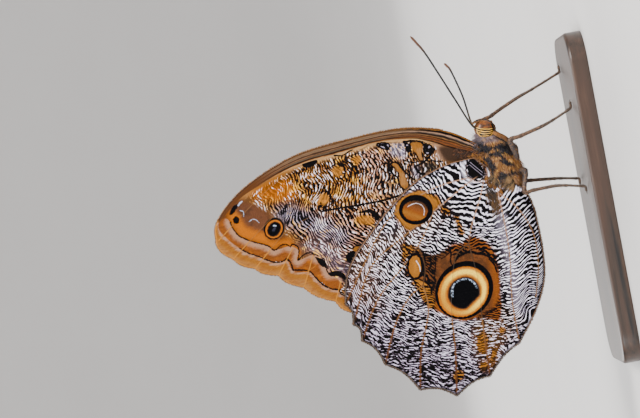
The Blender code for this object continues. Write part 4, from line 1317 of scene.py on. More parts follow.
def new_piece(name, slot, points, faces, *materials, places, fields=None, replaces=()):
    """A piece of the model from points in millimetres, with its places on the map OFBake and its fields. It
    rides on the one body, and can stand for CAD nodes."""
    mesh = bpy.data.meshes.new(name)
    mesh.from_pydata(np.asarray(points, float) * MM, [], faces)
    for material in materials:
        mesh.materials.append(material)
    mesh.shade_smooth()
    mesh.update()
    obj = linked(name, mesh)
    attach(obj, "root")
    if replaces:
        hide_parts(*replaces)
    bake_map(mesh, *places)
    for key, values in (fields or {}).items():
        add_field(mesh, key, values)
    return obj


def bake_map(mesh, across, up):
    """The map named OFBake, from each vertex's place on an unwrap of the piece's own shape."""
    layer = mesh.uv_layers.new(name="OFBake")
    corners = np.empty(len(mesh.loops), np.int32)
    mesh.loops.foreach_get("vertex_index", corners)
    layer.data.foreach_set("uv", np.column_stack((across, up))[corners].astype(np.float32).ravel())


def add_field(mesh, name, values):
    """A value, or three values as a colour, for each point of the mesh."""
    values = np.asarray(values, np.float32)
    if values.ndim == 1:
        mesh.attributes.new(name, "FLOAT", "POINT").data.foreach_set("value", values)
    else:
        four = np.column_stack((values, np.ones(len(values), np.float32)))
        mesh.attributes.new(name, "FLOAT_COLOR", "POINT").data.foreach_set("color", four.ravel())


def wing_place(plan):
    """Where points of a wing lie on its map: the outer face in the left half."""
    across, up = ((plan - WING_MAP_START) / WING_MAP_SIZE).T
    return 0.02 + across * 0.46, 0.05 + up * 0.9


def rim_faces(faces, count):
    """The faces between a wing's outer face and its inner one, whose points come a count later."""
    pairs = np.vstack((faces[:, [0, 1]], faces[:, [1, 2]], faces[:, [2, 0]]))
    known = {tuple(pair) for pair in pairs.tolist()}
    return [(b, a, a + count, b + count) for a, b in known if (b, a) not in known]


def wing(name, slot, plan, triangles, stand_off, side, fields, under, upper):
    """A membrane with raised veins that thins towards its edge, within the thicker one of the solids."""
    rise = np.clip(1 - fields["vein"] / VEIN_HALF_WIDTH, 0, 1) * ease(fields["edge"], 0.3, 1.5) * VEIN_RISE
    thin = MARGIN_SHARE + (1 - MARGIN_SHARE) * ease(fields["edge"], 0, MARGIN_TAPER)
    lean = bend(stand_off, plan, WING_BEND_STEP)[2]
    middle = stand_off(plan) + SOLID_MEMBRANE / 2 * lean
    half = MEMBRANE / 2 * thin * lean
    x, z = (plan + HINGE).T
    outer = np.column_stack((x, side * (middle + half + rise), z))
    inner = np.column_stack((x, side * (middle - half - 0.5 * rise), z))
    out_faces = triangles if side < 0 else triangles[:, ::-1]
    in_faces = out_faces[:, ::-1] + len(plan)
    faces = out_faces.tolist() + in_faces.tolist() + rim_faces(out_faces, len(plan))
    across, up = wing_place(plan)
    piece = new_piece(
        name, slot, np.vstack((outer, inner)), faces, under, upper,
        places=(np.concatenate((across, across + 0.5)), np.tile(up, 2)),
        fields={key: np.concatenate((values, values)) for key, values in fields.items()},
        replaces=(name,),
    )
    materials = np.zeros(len(faces), np.int32)
    materials[len(out_faces) : 2 * len(out_faces)] = 1
    piece.data.polygons.foreach_set("material_index", materials)


def build_wings():
    upper = upper_side_material()
    pale_fringe = three_tone("forewing_fringe_scales", ("vein", "tan", "sand"))
    dark_fringe = three_tone("hindwing_fringe_scales", ("ink", "umber", "bark"))
    kinds = (
        # name, veins, marks, stand-off, fields, material, fringe, angle of its middle, parts of its outline
        ("forewing", FOREWING_VEINS, FORE_MARKS, forewing_stand_off, forewing_fields, forewing_material(),
         pale_fringe, -8, (FOREWING_COSTA, FOREWING_TIPS, FOREWING_INNER, -FOREWING_LOBE)),
        ("hindwing", HINDWING_VEINS, HIND_MARKS, hindwing_stand_off, hindwing_fields, hindwing_material(),
         dark_fringe, -62, (HINDWING_COSTA, HINDWING_TIPS, HINDWING_INNER, HINDWING_NOTCH, HINDWING_ROOT)),
    )
    for kind, veins, marks, stand_off, make_fields, under, fringe, middle, parts in kinds:
        slot = kind + "_scales"
        outline = wing_outline(*parts)
        plan, triangles = wing_plan(outline, veins, marks)
        fields = make_fields(plan, outline)
        fields["across"] = (np.arctan2(*plan.T) - math.radians(middle)) * np.hypot(*plan.T)
        for word, side in SIDES:
            wing(f"{kind}_{word}", slot, plan, triangles, stand_off, side, fields, under, upper)
        build_fringe(kind, slot, outline, stand_off, fringe)


# The body, with heights above the stance: (forward, height, half width, half height), as in the solids
THORAX = (
    (5.6, 19.3, 2.5, 2.9), (6.6, 19.7, 3.3, 3.8), (8.6, 20.5, 4.2, 4.9), (11.2, 21.5, 4.6, 5.5),
    (14.2, 22.4, 4.7, 5.5), (17.2, 23.0, 4.5, 5.0), (19.6, 23.5, 3.8, 4.6), (21.2, 23.7, 3.0, 3.9),
    (22.2, 23.8, 2.2, 3.0),
)
HEAD = (
    (21.9, 23.1, 1.6, 1.9), (23.3, 23.5, 2.3, 2.7), (24.5, 24.0, 2.5, 3.0), (25.5, 24.5, 2.2, 2.7),
    (26.4, 24.8, 1.4, 1.8), (26.8, 24.9, 0.5, 0.7),
)
NECK = (21.9, 23.5, 1.9, 2.35)
ABDOMEN_HALF_WIDTH = 3.1
ABDOMEN_HALF_HEIGHT = 3.3
ABDOMEN_SEGMENTS = 8
SEGMENT_GROOVE = 0.05
SQUARENESS = 2.3
ABDOMEN_END = 4.4  # the thorax covers the stations ahead of this
THORAX_COAT = 0.42  # how far the skin lies inside the solids, for the coat over it
HEAD_COAT = 0.25
ABDOMEN_COAT = 0.35
SKIN_SIDES = 96
SKIN_STEP = 0.3

EYE_CENTRE = np.array((24.25, -1.85, 24.05 + STANCE))
EYE_RADII = np.array((2.6, 1.5, 2.5))
EYE_TILT = math.radians(16)
EYE_ROWS = 48
EYE_SIDES = 96

# Limbs, with heights above the stance: (forward, side, height, radius), as in the solids
PALP = (
    (23.0, -1.0, 22.4, 0.5), (23.6, -1.2, 21.6, 0.55), (24.5, -1.35, 21.5, 0.6), (25.6, -1.4, 22.2, 0.6),
    (26.5, -1.35, 23.2, 0.58), (26.95, -1.25, 24.5, 0.5), (26.9, -1.15, 25.7, 0.42), (26.6, -1.0, 26.8, 0.25),
)
FORELEG = (
    (22.9, -1.9, 22.1, 0.6), (22.0, -2.7, 20.9, 0.95), (20.9, -3.1, 19.5, 0.95), (19.7, -3.2, 18.3, 0.7),
    (18.6, -2.9, 17.4, 0.4),
)
LEGS = {
    "midleg_right": (
        (13.6, -1.8, 19.4, 0.75), (15.3, -3.5, 16.9, 0.8), (19.8, -5.4, 17.9, 0.7),
        (20.6, -5.9, 14.9, 0.55), (22.1, -6.6, 8.8, 0.55), (23.2, -7.0, 5.6, 0.42),
        (25.2, -7.6, 0.9, 0.4), (26.0, -7.8, 0.0, 0.42), (27.3, -8.0, 0.0, 0.42),
    ),
    "midleg_left": (
        (15.0, 1.8, 19.4, 0.75), (17.8, 4.6, 16.4, 0.8), (25.9, 6.6, 23.6, 0.7),
        (27.9, 7.1, 20.9, 0.55), (31.2, 7.9, 13.6, 0.55), (33.0, 8.3, 8.6, 0.42),
        (36.0, 8.9, 0.9, 0.4), (36.8, 9.1, 0.0, 0.42), (38.1, 9.3, 0.0, 0.42),
    ),
    "hindleg_right": (
        (10.2, -1.6, 18.6, 0.75), (10.9, -4.2, 15.4, 0.75), (5.3, -5.9, 16.6, 0.65),
        (5.2, -6.3, 14.2, 0.52), (5.3, -7.0, 8.6, 0.52), (4.9, -7.4, 5.4, 0.42),
        (3.9, -8.0, 0.9, 0.4), (3.5, -8.2, 0.0, 0.42), (2.3, -8.4, 0.0, 0.42),
    ),
    "hindleg_left": (
        (10.4, 1.6, 18.6, 0.75), (10.8, 4.4, 15.2, 0.75), (8.2, 6.4, 16.0, 0.65),
        (8.0, 6.7, 13.6, 0.52), (7.4, 7.2, 8.2, 0.52), (7.0, 7.6, 5.2, 0.42),
        (6.2, 8.2, 0.9, 0.4), (5.8, 8.4, 0.0, 0.42), (4.6, 8.7, 0.0, 0.42),
    ),
}
LEG_JOINTS = (1, 2, 3, 5, 6)  # stops of a leg's route where two of its pieces meet
LEG_JOINT_REACH = 0.45
LEG_HAIRS = 1500
SPINE_SHARE = 0.06
SPINE_LENGTH = 0.75
FOOT_PIECE = 1.15
CLAW_ROWS = 9
CLAW_SIDES = 8
CLAW_RADIUS = 0.13
LEG_STEP = 0.16
LIMB_SIDES = 16
BRUSH_STEP = 0.15
BRUSH_SIDES = 20
BRUSH_CORE = 0.8  # radius of the limb under the hair, as a share of the solid's
ANTENNA_STEP = 0.125
ANTENNA_RIGHT = (
    (24.6, -0.8, 25.6, 0.3), (26.4, -1.3, 27.6, 0.3), (34.6, -3.4, 31.1, 0.28),
    (47.1, -6.2, 36.4, 0.28), (51.0, -7.0, 38.6, 0.34), (53.2, -7.3, 40.0, 0.22),
)
ANTENNA_LEFT = (
    (24.6, 0.8, 25.6, 0.3), (26.6, 2.0, 27.2, 0.3), (34.6, 9.6, 27.9, 0.28),
    (42.4, 18.4, 29.4, 0.28), (44.3, 21.4, 30.2, 0.34), (45.2, 23.4, 30.7, 0.22),
)
PROBOSCIS_CENTRE = np.array((25.75, 0.0, 22.45 + STANCE))
PROBOSCIS_REACH = 0.5
PROBOSCIS_TURNS = 2.2
PROBOSCIS_RADIUS = 0.17
PROBOSCIS_START = 2.4
PROBOSCIS_LENGTH = 12
PROBOSCIS_ROWS = 220
PROBOSCIS_SIDES = 12
MIRRORS = (("right", 1), ("left", -1))  # for limbs and eyes that are written for the right side

# The base
BASE_LENGTH = 92.0
BASE_WIDTH = 46.0
BASE_HEIGHT = 5.0
BASE_CORNER = 9.0
BASE_ROUND = 1.0

# Patches in the thorax's coat: (forward, height above the stance, radius across the photo, radius up it)
TAN_PATCHES = (
    (20.4, 23.5, 1.0, 0.6), (16.1, 22.7, 1.8, 0.8), (14.0, 21.8, 1.2, 0.8), (15.7, 18.9, 1.6, 0.7),
    (12.8, 18.4, 2.3, 0.7), (17.8, 25.6, 0.7, 0.5), (18.6, 23.1, 0.6, 0.4), (11.9, 23.4, 0.7, 1.1),
    (9.3, 21.7, 1.1, 0.7), (10.1, 19.4, 1.1, 0.7), (16.7, 27.0, 0.8, 0.5), (9.6, 25.7, 1.5, 0.7),
    (10.8, 17.7, 0.7, 0.9), (16.9, 20.2, 0.6, 0.3), (18.5, 21.4, 0.7, 0.3), (13.5, 26.4, 0.6, 1.5),
    (12.3, 20.1, 1.5, 0.4), (14.1, 17.5, 1.0, 0.8), (8.0, 23.0, 1.5, 0.6),
)
DARK_PATCHES = (
    (19.4, 25.2, 2.0, 0.9), (18.4, 20.5, 2.1, 0.6), (16.9, 22.1, 1.3, 0.5), (15.7, 20.9, 1.1, 0.7),
    (15.8, 24.9, 1.2, 1.2), (13.2, 25.1, 1.1, 1.1), (11.3, 22.1, 1.2, 0.9), (9.4, 23.7, 1.3, 1.1),
    (14.6, 19.7, 1.1, 0.6), (11.7, 18.2, 1.6, 0.3), (17.0, 18.1, 1.8, 0.3), (11.4, 24.9, 0.6, 0.7),
    (10.0, 20.3, 0.5, 0.8), (14.1, 24.2, 0.6, 0.4),
)
IMAGE_RIGHT = np.array((-0.1817, -0.9834))  # the photograph's axes, in (forward, up)
IMAGE_UP = np.array((0.9834, -0.1817))

# A tuft is a closed spike: two rings of three points, and its tip
TUFT_RINGS = ((0.0, 0.8), (0.45, 1.0))  # share of the length, share of the width
TUFT_TURNS = (90, 210, 330)
TUFT_FACES = (
    (2, 1, 0), (0, 1, 4), (0, 4, 3), (1, 2, 5), (1, 5, 4), (2, 0, 3), (2, 3, 5), (3, 4, 6), (4, 5, 6),
    (5, 3, 6),
)
TUFT_TIP = (0, 0, 0, 0.5, 0.5, 0.5, 1.0)  # how near to the tip each point is
TUFT_MAP = ((-1, -1), (1, -1), (0, -0.6), (-0.7, 0.2), (0.7, 0.2), (0, 0.4), (0, 1))
TUFT_MAP_SIZE = 0.0015
TUFT_FLATNESS = 0.6
TUFT_SINK = 0.03
TUFT_BEND = 0.12
COATS = (
    # name, count, from, to, shortest, longest, width, lift, wander
    ("thorax_coat_front", 12000, 14.5, 21.9, 0.7, 1.3, 0.14, 0.3, 0.5),
    ("thorax_coat_rear", 13000, 5.2, 15.0, 0.8, 1.5, 0.14, 0.3, 0.5),
    ("abdomen_coat", 13000, -21.5, 5.6, 0.6, 1.2, 0.1, 0.2, 0.3),
    ("head_coat", 9000, 21.6, 26.8, 0.3, 0.6, 0.06, 0.35, 0.5),
    ("chest_coat", 2600, 10.5, 20.5, 1.3, 2.3, 0.12, 0.75, 0.4),
)
CHEST_NORMAL = -0.45  # the chest's tufts stand where the skin faces down by more than this
COLLARS = (
    # name, count, from, to, lowest normal, lie forward, lie up, shortest, longest
    ("collar_coat", 3200, 20.8, 22.6, -0.35, 0.9, 0.5, 0.8, 1.6),
    ("nape_coat", 3400, 17.6, 22.6, 0.3, -0.1, 1.0, 1.8, 3.7),
)
HIND_HAIR = (
    # name, colours, count, shortest, longest, lean of the hair from forward towards up, shape
    ("base_band", ("brown", "ochre", "sand"), 420, 0.5, 1.0, -150,
     stroke(0.25, (0.6, 5.4), (0.9, 3.6), (-1.4, 1.3), (-4.0, 0.2), (-6.6, 0.6))),
    ("fan", ("brown", "gold", "sand"), 420, 1.0, 2.0, -166,
     stroke(0.7, (-5.6, 1.6), (-7.0, 1.0), (-8.4, -0.4), (-10.4, -1.6))),
    ("dark_lock", ("black", "umber", "drab"), 130, 2.4, 4.2, -174,
     area((-7.2, 2.0), (-7.6, 0.4), (-9.4, -0.6), (-10.4, 0.2), (-10.0, 1.6), (-8.6, 2.3))),
    ("olive_lock", ("umber", "olive", "tan"), 260, 2.4, 4.6, -172,
     area((-8.6, 2.6), (-9.4, -0.6), (-11.6, -1.4), (-14.0, -0.9), (-14.6, 0.6), (-12.0, 2.0))),
    ("crest", ("black", "drab", "straw"), 800, 1.6, 3.2, 140,
     stroke(1.1, (-5.6, -1.2), (-7.4, -4.2), (-9.0, -6.2), (-10.9, -8.0), (-13.0, -9.6))),
    ("crease", ("grey", "silver", "umber"), 160, 1.0, 2.2, -178,
     stroke(1.0, (-12.5, -2.0), (-16.0, -1.2), (-22.0, -0.6), (-28.0, -0.6))),
)
FORE_HAIR = (
    ("shoulder", ("black", "umber", "rust"), 420, 0.5, 1.0, 100,
     area((3.4, 4.5), (3.6, 7.5), (2.0, 9.0), (0.4, 7.0), (-0.4, 5.0), (1.2, 3.4))),
)

# The studio, with lights in metres and watts: name, place, size, power, colour
FLOOR_RADIUS = 1500.0
SWEEP_RADIUS = 900.0
WALL_HEIGHT = 2600.0
FLOOR_SIDES = 96
LIGHTS = (
    ("key_light", (0.75, -0.9, 1.05), 0.7, 34.0, (1.0, 0.98, 0.95)),
    ("fill_light", (-0.8, -1.0, 0.5), 0.9, 12.0, (0.94, 0.97, 1.0)),
    ("back_light", (-0.3, 1.1, 0.9), 0.9, 14.0, (1.0, 1.0, 1.0)),
    ("top_light", (0.0, 0.0, 1.5), 1.2, 14.0, (1.0, 1.0, 1.0)),
)
LIGHT_TARGET = (0.01, 0.0, 0.06)
AIR_COLOUR = (0.9, 0.93, 1.0, 1.0)
AIR_STRENGTH = 0.7


def unit(rows, least=0.0):
    """Rows of a table as directions of length 1."""
    return rows / (np.linalg.norm(rows, axis=1)[:, None] + least)


def frames_along(points):
    """For each point of a route, its direction and the two directions across it, with no sudden turn."""
    along = unit(np.gradient(points, axis=0))
    across = np.empty_like(along)
    last = np.array((0.0, 1.0, 0.0))
    for i, way in enumerate(along):
        last = last - way * (last @ way)
        last = last / np.linalg.norm(last)
        across[i] = last
    return along, across, np.cross(along, across)


def joined(rows, sides):
    """The faces of a closed tube whose rings of points follow one another."""
    last = (rows - 1) * sides
    faces = [tuple(range(sides))[::-1], tuple(range(last, last + sides))]
    for first in range(0, last, sides):
        for i in range(sides):
            j = (i + 1) % sides
            faces.append((first + i, first + j, first + sides + j, first + sides + i))
    return faces


def tube(run, sides, wide=1.0, floor=None):
    """Rings of points round a run of (forward, side, up, radius), and each point's turn."""
    _, across, up = frames_along(run[:, :3])
    turn = 2 * np.pi * (np.arange(sides) + 0.5) / sides
    spread = across[:, None] * np.cos(turn)[None, :, None] * wide + up[:, None] * np.sin(turn)[None, :, None]
    points = (run[:, None, :3] + spread * run[:, None, 3:]).reshape(-1, 3)
    if floor is not None:
        points[:, 2] = np.maximum(points[:, 2], floor)
    return points, np.tile(turn / (2 * np.pi), len(run))


def tube_piece(name, slot, material, run, sides, share, fields, wide=1.0, floor=None):
    """A limb along a run, in place of the CAD node of its name. Each field has a value for each ring, or is a
    function of the points and their turns."""
    points, around = tube(run, sides, wide, floor)
    values = {
        key: value(points, around) if callable(value) else np.repeat(value, sides)
        for key, value in fields.items()
    }
    new_piece(
        name, slot, points, joined(len(run), sides), material,
        places=(around, np.repeat(share, sides)), fields=values, replaces=(name,),
    )


def route_run(route, step):
    """A smooth run through a route's stops, lifted to the stance."""
    return smooth_run(np.array(route, float) + (0, 0, STANCE, 0), step)


def travelled(run):
    """How far along a run each of its points is."""
    return np.concatenate(([0], np.cumsum(np.linalg.norm(np.diff(run[:, :3], axis=0), axis=1))))


def round_at(run, at, turn):
    """Directions out of a run at some of its points and turns, and the run's own direction there."""
    along, across, up = frames_along(run[:, :3])
    angle = 2 * np.pi * turn
    return across[at] * np.cos(angle)[:, None] + up[at] * np.sin(angle)[:, None], along[at]


def abdomen_stations():
    """Segments with a groove between them, from the tip forward."""
    stations = []
    for i in range(2 * ABDOMEN_SEGMENTS, -1, -1):
        share = i / (2 * ABDOMEN_SEGMENTS)
        size = (0.78 + 0.9 * share - 1.05 * share**2) * (1 - share**5)
        size *= 1 if i % 2 else 1 - SEGMENT_GROOVE
        x, z = (a + (b - a) * share for a, b in zip(ABDOMEN_FRONT, ABDOMEN_TIP))
        stations.append((x, z, max(0.4, ABDOMEN_HALF_WIDTH * size), max(0.45, ABDOMEN_HALF_HEIGHT * size)))
    return stations


def inset(stations, depth):
    return [(x, z, max(0.12, w - depth), max(0.12, h - depth)) for x, z, w, h in stations]


def skin_run():
    """Abdomen, thorax and head in one run of (forward, height, half width, half height)."""
    rear = inset([station for station in abdomen_stations() if station[0] < ABDOMEN_END], ABDOMEN_COAT)
    middle = inset(THORAX[1:-1], THORAX_COAT)
    front = inset(HEAD[1:], HEAD_COAT)
    return smooth_run(np.array(rear + middle + [NECK] + front), SKIN_STEP)


def on_skin(stations, way, turn):
    """Points on the squarish skin for stations, the body's direction there, and turns. A turn of 0 is on the
    left side and 0.25 is on top."""
    angle = turn * 2 * np.pi
    side, rise = (np.sign(part) * np.abs(part) ** (2 / SQUARENESS) for part in (np.cos(angle), np.sin(angle)))
    return np.column_stack((
        stations[:, 0] - way[:, 1] * rise * stations[:, 3],
        side * stations[:, 2],
        stations[:, 1] + way[:, 0] * rise * stations[:, 3] + STANCE,
    ))


def patch_distance(flat, patches):
    """Each place's distance from the nearest patch, negative inside it."""
    offs = []
    for x, z, across, up in patches:
        lean = flat - (x, z)
        size = np.hypot(lean @ IMAGE_RIGHT / across, lean @ IMAGE_UP / up)
        offs.append((size - 1) * min(across, up))
    return np.min(offs, axis=0)


def coat_fields(points):
    """What the coat's colours go by, at roots or on the skin: the same for both."""
    flat = points[:, [0, 2]] - (0, STANCE)
    return {
        "dark": patch_distance(flat, DARK_PATCHES) - patch_distance(flat, TAN_PATCHES),
        "head": ease(flat[:, 0], 21.2, 22.6),
        "rear": ease(flat[:, 0], 6.5, 3.5),
        "collar": 1 - ease(np.abs(flat[:, 0] - 21.9), 0.6, 1.6),
        "low": ease(flat[:, 1], 18.0, 16.4),
        "high": ease(flat[:, 1], 25.6, 27.4),
    }


def tufts(name, slot, material, roots, normals, lies, lengths, places, fields, width, lift):
    """Tapering tufts, each a closed spike of three sides bent along its lie, as one piece. lift is how far a
    tip stands off, as a share of the length."""
    count = len(roots)
    rng = np.random.default_rng(SEED + count)
    normals = unit(normals)
    lies = unit(lies - normals * np.sum(lies * normals, axis=1)[:, None], 1e-9)
    sides = np.cross(normals, lies)
    lengths, lifts = (np.broadcast_to(value, count)[:, None] for value in (lengths, lift))
    bends = rng.normal(0, TUFT_BEND, (count, 1))
    rows = []
    for share, size in TUFT_RINGS:
        height = lifts * share * (1.5 - share) - TUFT_SINK
        middle = roots + lies * lengths * share + normals * lengths * height
        middle = middle + sides * bends * lengths * share**2
        for angle in TUFT_TURNS:
            turn = math.radians(angle)
            spread = sides * math.cos(turn) + normals * math.sin(turn) * TUFT_FLATNESS
            rows.append(middle + spread * width * size * 0.5)
    rows.append(roots + lies * lengths + normals * lengths * lifts * 0.55 + sides * bends * lengths)
    each = len(rows)
    points = np.stack(rows, axis=1).reshape(-1, 3)
    faces = (np.array(TUFT_FACES)[None] + each * np.arange(count)[:, None, None]).reshape(-1, 3)
    values = {"root": roots, "tuft": rng.random(count), **fields}
    values = {key: np.repeat(value, each, axis=0) for key, value in values.items()}
    values["tip"] = np.tile(TUFT_TIP, count)
    spots = np.repeat(places, each, axis=0) + np.tile(TUFT_MAP_SIZE * np.array(TUFT_MAP), (count, 1))
    new_piece(name, slot, points, faces.tolist(), material, places=spots.T, fields=values)


def draw_roots(rng, count, rear, front, run):
    """Roots spread evenly over the skin between two places along the body, with normals and map places."""
    number = np.arange(len(run))
    around = 2 * np.pi * np.sqrt((run[:, 2] ** 2 + run[:, 3] ** 2) / 2)
    total = np.cumsum(around * ((run[:, 0] >= rear) & (run[:, 0] <= front)))
    at = np.interp(rng.random(count) * total[-1], total, number)
    turn = rng.random(count)
    stations, ahead = (
        np.column_stack([np.interp(place, number, column) for column in run.T]) for place in (at, at + 0.3)
    )
    way = ahead[:, :2] - stations[:, :2]
    way = way / (np.hypot(*way.T)[:, None] + 1e-9)
    roots = on_skin(stations, way, turn)
    forward = on_skin(ahead, way, turn) - roots
    sideways = on_skin(stations, way, turn + 0.004) - on_skin(stations, way, turn - 0.004)
    normals = unit(np.cross(sideways, forward), 1e-9)
    outward = roots - np.column_stack((stations[:, 0], np.zeros(count), stations[:, 1] + STANCE))
    normals *= np.sign(np.sum(normals * outward, axis=1))[:, None]
    return roots, normals, np.column_stack((turn, np.interp(at, number, np.linspace(0, 1, len(run)))))


def clumped(rng, points, size):
    """A random value for each point, the same for all that share a clump."""
    cells = np.floor((points + 0.3 * size * wavy(points, 2.0 / size, 4)[:, None]) / size).astype(int)
    _, index = np.unique(cells, axis=0, return_inverse=True)
    index = index.reshape(-1)
    return rng.normal(0, 1, index.max() + 1)[index]


def wavy(points, scale, seed):
    """A smooth wandering value for each point, mostly from -1 to 1."""
    rng = np.random.default_rng(seed)
    total = np.zeros(len(points))
    for _ in range(5):
        way = rng.normal(0, 1, 3)
        waves = points @ (way / np.linalg.norm(way)) * scale * rng.uniform(0.6, 1.6)
        total += np.sin(waves + rng.uniform(0, 6.28))
    return total / 3


def near_eye(points):
    """Whether each point is under an eye."""
    lean = points[:, [0, 2]] - EYE_CENTRE[[0, 2]]
    return (np.hypot(*(lean / EYE_RADII[[0, 2]]).T) < 1.02) & (np.abs(points[:, 1]) > 0.9)


def build_skin():
    run = skin_run()
    way = np.gradient(run[:, :2], axis=0)
    way /= np.hypot(*way.T)[:, None]
    turn = np.tile(np.arange(SKIN_SIDES) / SKIN_SIDES, len(run))
    points = on_skin(np.repeat(run, SKIN_SIDES, axis=0), np.repeat(way, SKIN_SIDES, axis=0), turn)
    new_piece(
        "body_skin", "body_coat", points, joined(len(run), SKIN_SIDES), hair_material("body_skin_hair", True),
        places=(turn, np.repeat(np.linspace(0, 1, len(run)), SKIN_SIDES)),
        fields={"root": points, **coat_fields(points)},
        replaces=("head", "thorax", "abdomen"),
    )
    return run


def build_coat(run):
    """The coat, longest on the thorax. It lies backwards, parted into tufts that wander a little."""
    hair = hair_material("body_hair", False)
    rng = np.random.default_rng(SEED)
    for name, count, rear, front, shortest, longest, width, lift, wander in COATS:
        roots, normals, places = draw_roots(rng, count, rear, front, run)
        keep = normals[:, 2] < CHEST_NORMAL if name == "chest_coat" else ~near_eye(roots)
        roots, normals, places = roots[keep], normals[keep], places[keep]
        turn = wavy(roots, 0.9, 3) * wander + 0.26 * clumped(rng, roots, 0.6) + rng.normal(0, 0.1, len(roots))
        back = np.tile((-1.0, 0.0, -0.25), (len(roots), 1))
        lies = back * np.cos(turn)[:, None] + np.cross(normals, back) * np.sin(turn)[:, None]
        lengths = rng.uniform(shortest, longest, len(roots))
        lengths *= (1 + 0.12 * clumped(rng, roots, 0.8)).clip(0.6, 1.4)
        under = ease(roots[:, 2] - STANCE, 20.0, 17.8)
        lengths *= 1 + 0.5 * under
        lifts = lift + 0.25 * wavy(roots, 2.2, 5) + 0.12 * clumped(rng, roots, 0.6) + 0.3 * under
        lifts = np.clip(lifts, 0.08, 0.85)
        fields = coat_fields(roots)
        tufts(name, "body_coat", hair, roots, normals, lies, lengths, places, fields, width, lifts)


def build_collar(run):
    """Longer grey hair that stands up round the neck and on the nape."""
    rng = np.random.default_rng(SEED + 1)
    hair = hair_material("collar_hair", False)
    for name, count, rear, front, least, forward, upward, shortest, longest in COLLARS:
        roots, normals, places = draw_roots(rng, count, rear, front, run)
        keep = normals[:, 2] > least
        roots, normals, places = roots[keep], normals[keep], places[keep]
        ahead = rng.normal(forward, 0.25, len(roots))
        rise = rng.normal(upward, 0.25, len(roots))
        ahead += 0.25 * clumped(rng, roots, 0.6)
        lies = np.column_stack((ahead, normals[:, 1] * 0.6, rise))
        lengths = rng.uniform(shortest, longest, len(roots))
        fields = coat_fields(roots)
        tufts(name, "body_coat", hair, roots, normals, lies, lengths, places, fields, width=0.1, lift=0.75)


def build_eyes():
    material = eye_material()
    polar_turn, round_turn = np.meshgrid(
        np.linspace(0.02, np.pi - 0.02, EYE_ROWS), 2 * np.pi * np.arange(EYE_SIDES) / EYE_SIDES, indexing="ij"
    )
    ball = np.stack((
        np.sin(polar_turn) * np.cos(round_turn), -np.cos(polar_turn), np.sin(polar_turn) * np.sin(round_turn)
    ), axis=2).reshape(-1, 3)
    lean = np.array((
        (math.cos(EYE_TILT), 0, -math.sin(EYE_TILT)), (0, 1, 0), (math.sin(EYE_TILT), 0, math.cos(EYE_TILT))
    ))
    offset = (ball * EYE_RADII) @ lean.T
    outer = ball[:, 1] < 0
    fields = {
        "across_eye": offset[:, [0, 2]] @ IMAGE_RIGHT,
        "up_eye": offset[:, [0, 2]] @ IMAGE_UP,
        "rim": np.where(outer, np.hypot(ball[:, 0], ball[:, 2]), 1),
    }
    half = np.where(outer, -1, 1)  # of the map: the outer half of an eye is on the left
    places = (0.5 - ball[:, 0] * 0.24 * half + 0.25 * half, 0.5 + ball[:, 2] * 0.45)
    for word, side in MIRRORS:
        faces = [face[::side * -1] for face in joined(EYE_ROWS, EYE_SIDES)]
        points = (EYE_CENTRE + offset) * (1, side, 1)
        name = "eye_" + word
        new_piece(name, "eyes", points, faces, material, places=places, fields=fields, replaces=(name,))


def leg(name, route, material):
    """A jointed leg with a foot of five short pieces, and hairs and spines along it."""
    run = route_run(route, LEG_STEP)
    joint = np.zeros(len(run))
    for stop in (np.array(route[at][:3]) + (0, 0, STANCE) for at in LEG_JOINTS):
        off = np.linalg.norm(run[:, :3] - stop, axis=1)
        joint = np.maximum(joint, np.exp(-((off / LEG_JOINT_REACH) ** 2)))
    travel = travelled(run)
    share = travel / travel[-1]
    foot = ease(share, 0.72, 0.78)
    notches = 1 - 0.1 * foot * (np.cos(2 * np.pi * travel / FOOT_PIECE) > 0.8)
    thin = 1 - 0.1 * ease(share, 0.3, 0.75)
    run[:, 3] *= thin * notches * (1 + 0.16 * joint)
    fields = {"down": share, "joint": joint}
    tube_piece(name, "legs", material, run, LIMB_SIDES, share, fields, wide=0.92, floor=SOLE)
    rng = np.random.default_rng(SEED + len(run))
    at = np.sort(rng.integers(3, len(run) - 3, LEG_HAIRS))
    turn = rng.uniform(0, 2 * np.pi, LEG_HAIRS) / (2 * np.pi)
    out, along = round_at(run, at, turn)
    roots = run[at, :3] + out * run[at, 3:] * 0.9
    lengths = np.where(rng.random(LEG_HAIRS) < SPINE_SHARE, SPINE_LENGTH, 0.34)
    lengths += 0.6 * (1 - ease(share[at], 0.16, 0.34))
    lifts = np.where(lengths == SPINE_LENGTH, 0.8, 0.3)
    keep = roots[:, 2] > SOLE + 0.15
    places = np.column_stack((turn, share[at]))[keep]
    fields = {"down": share[at][keep], "joint": np.zeros(keep.sum())}
    roots, out, along, lengths, lifts = (values[keep] for values in (roots, out, along, lengths, lifts))
    tufts(name + "_hairs", "legs", material, roots, out, along, lengths, places, fields, 0.07, lifts)


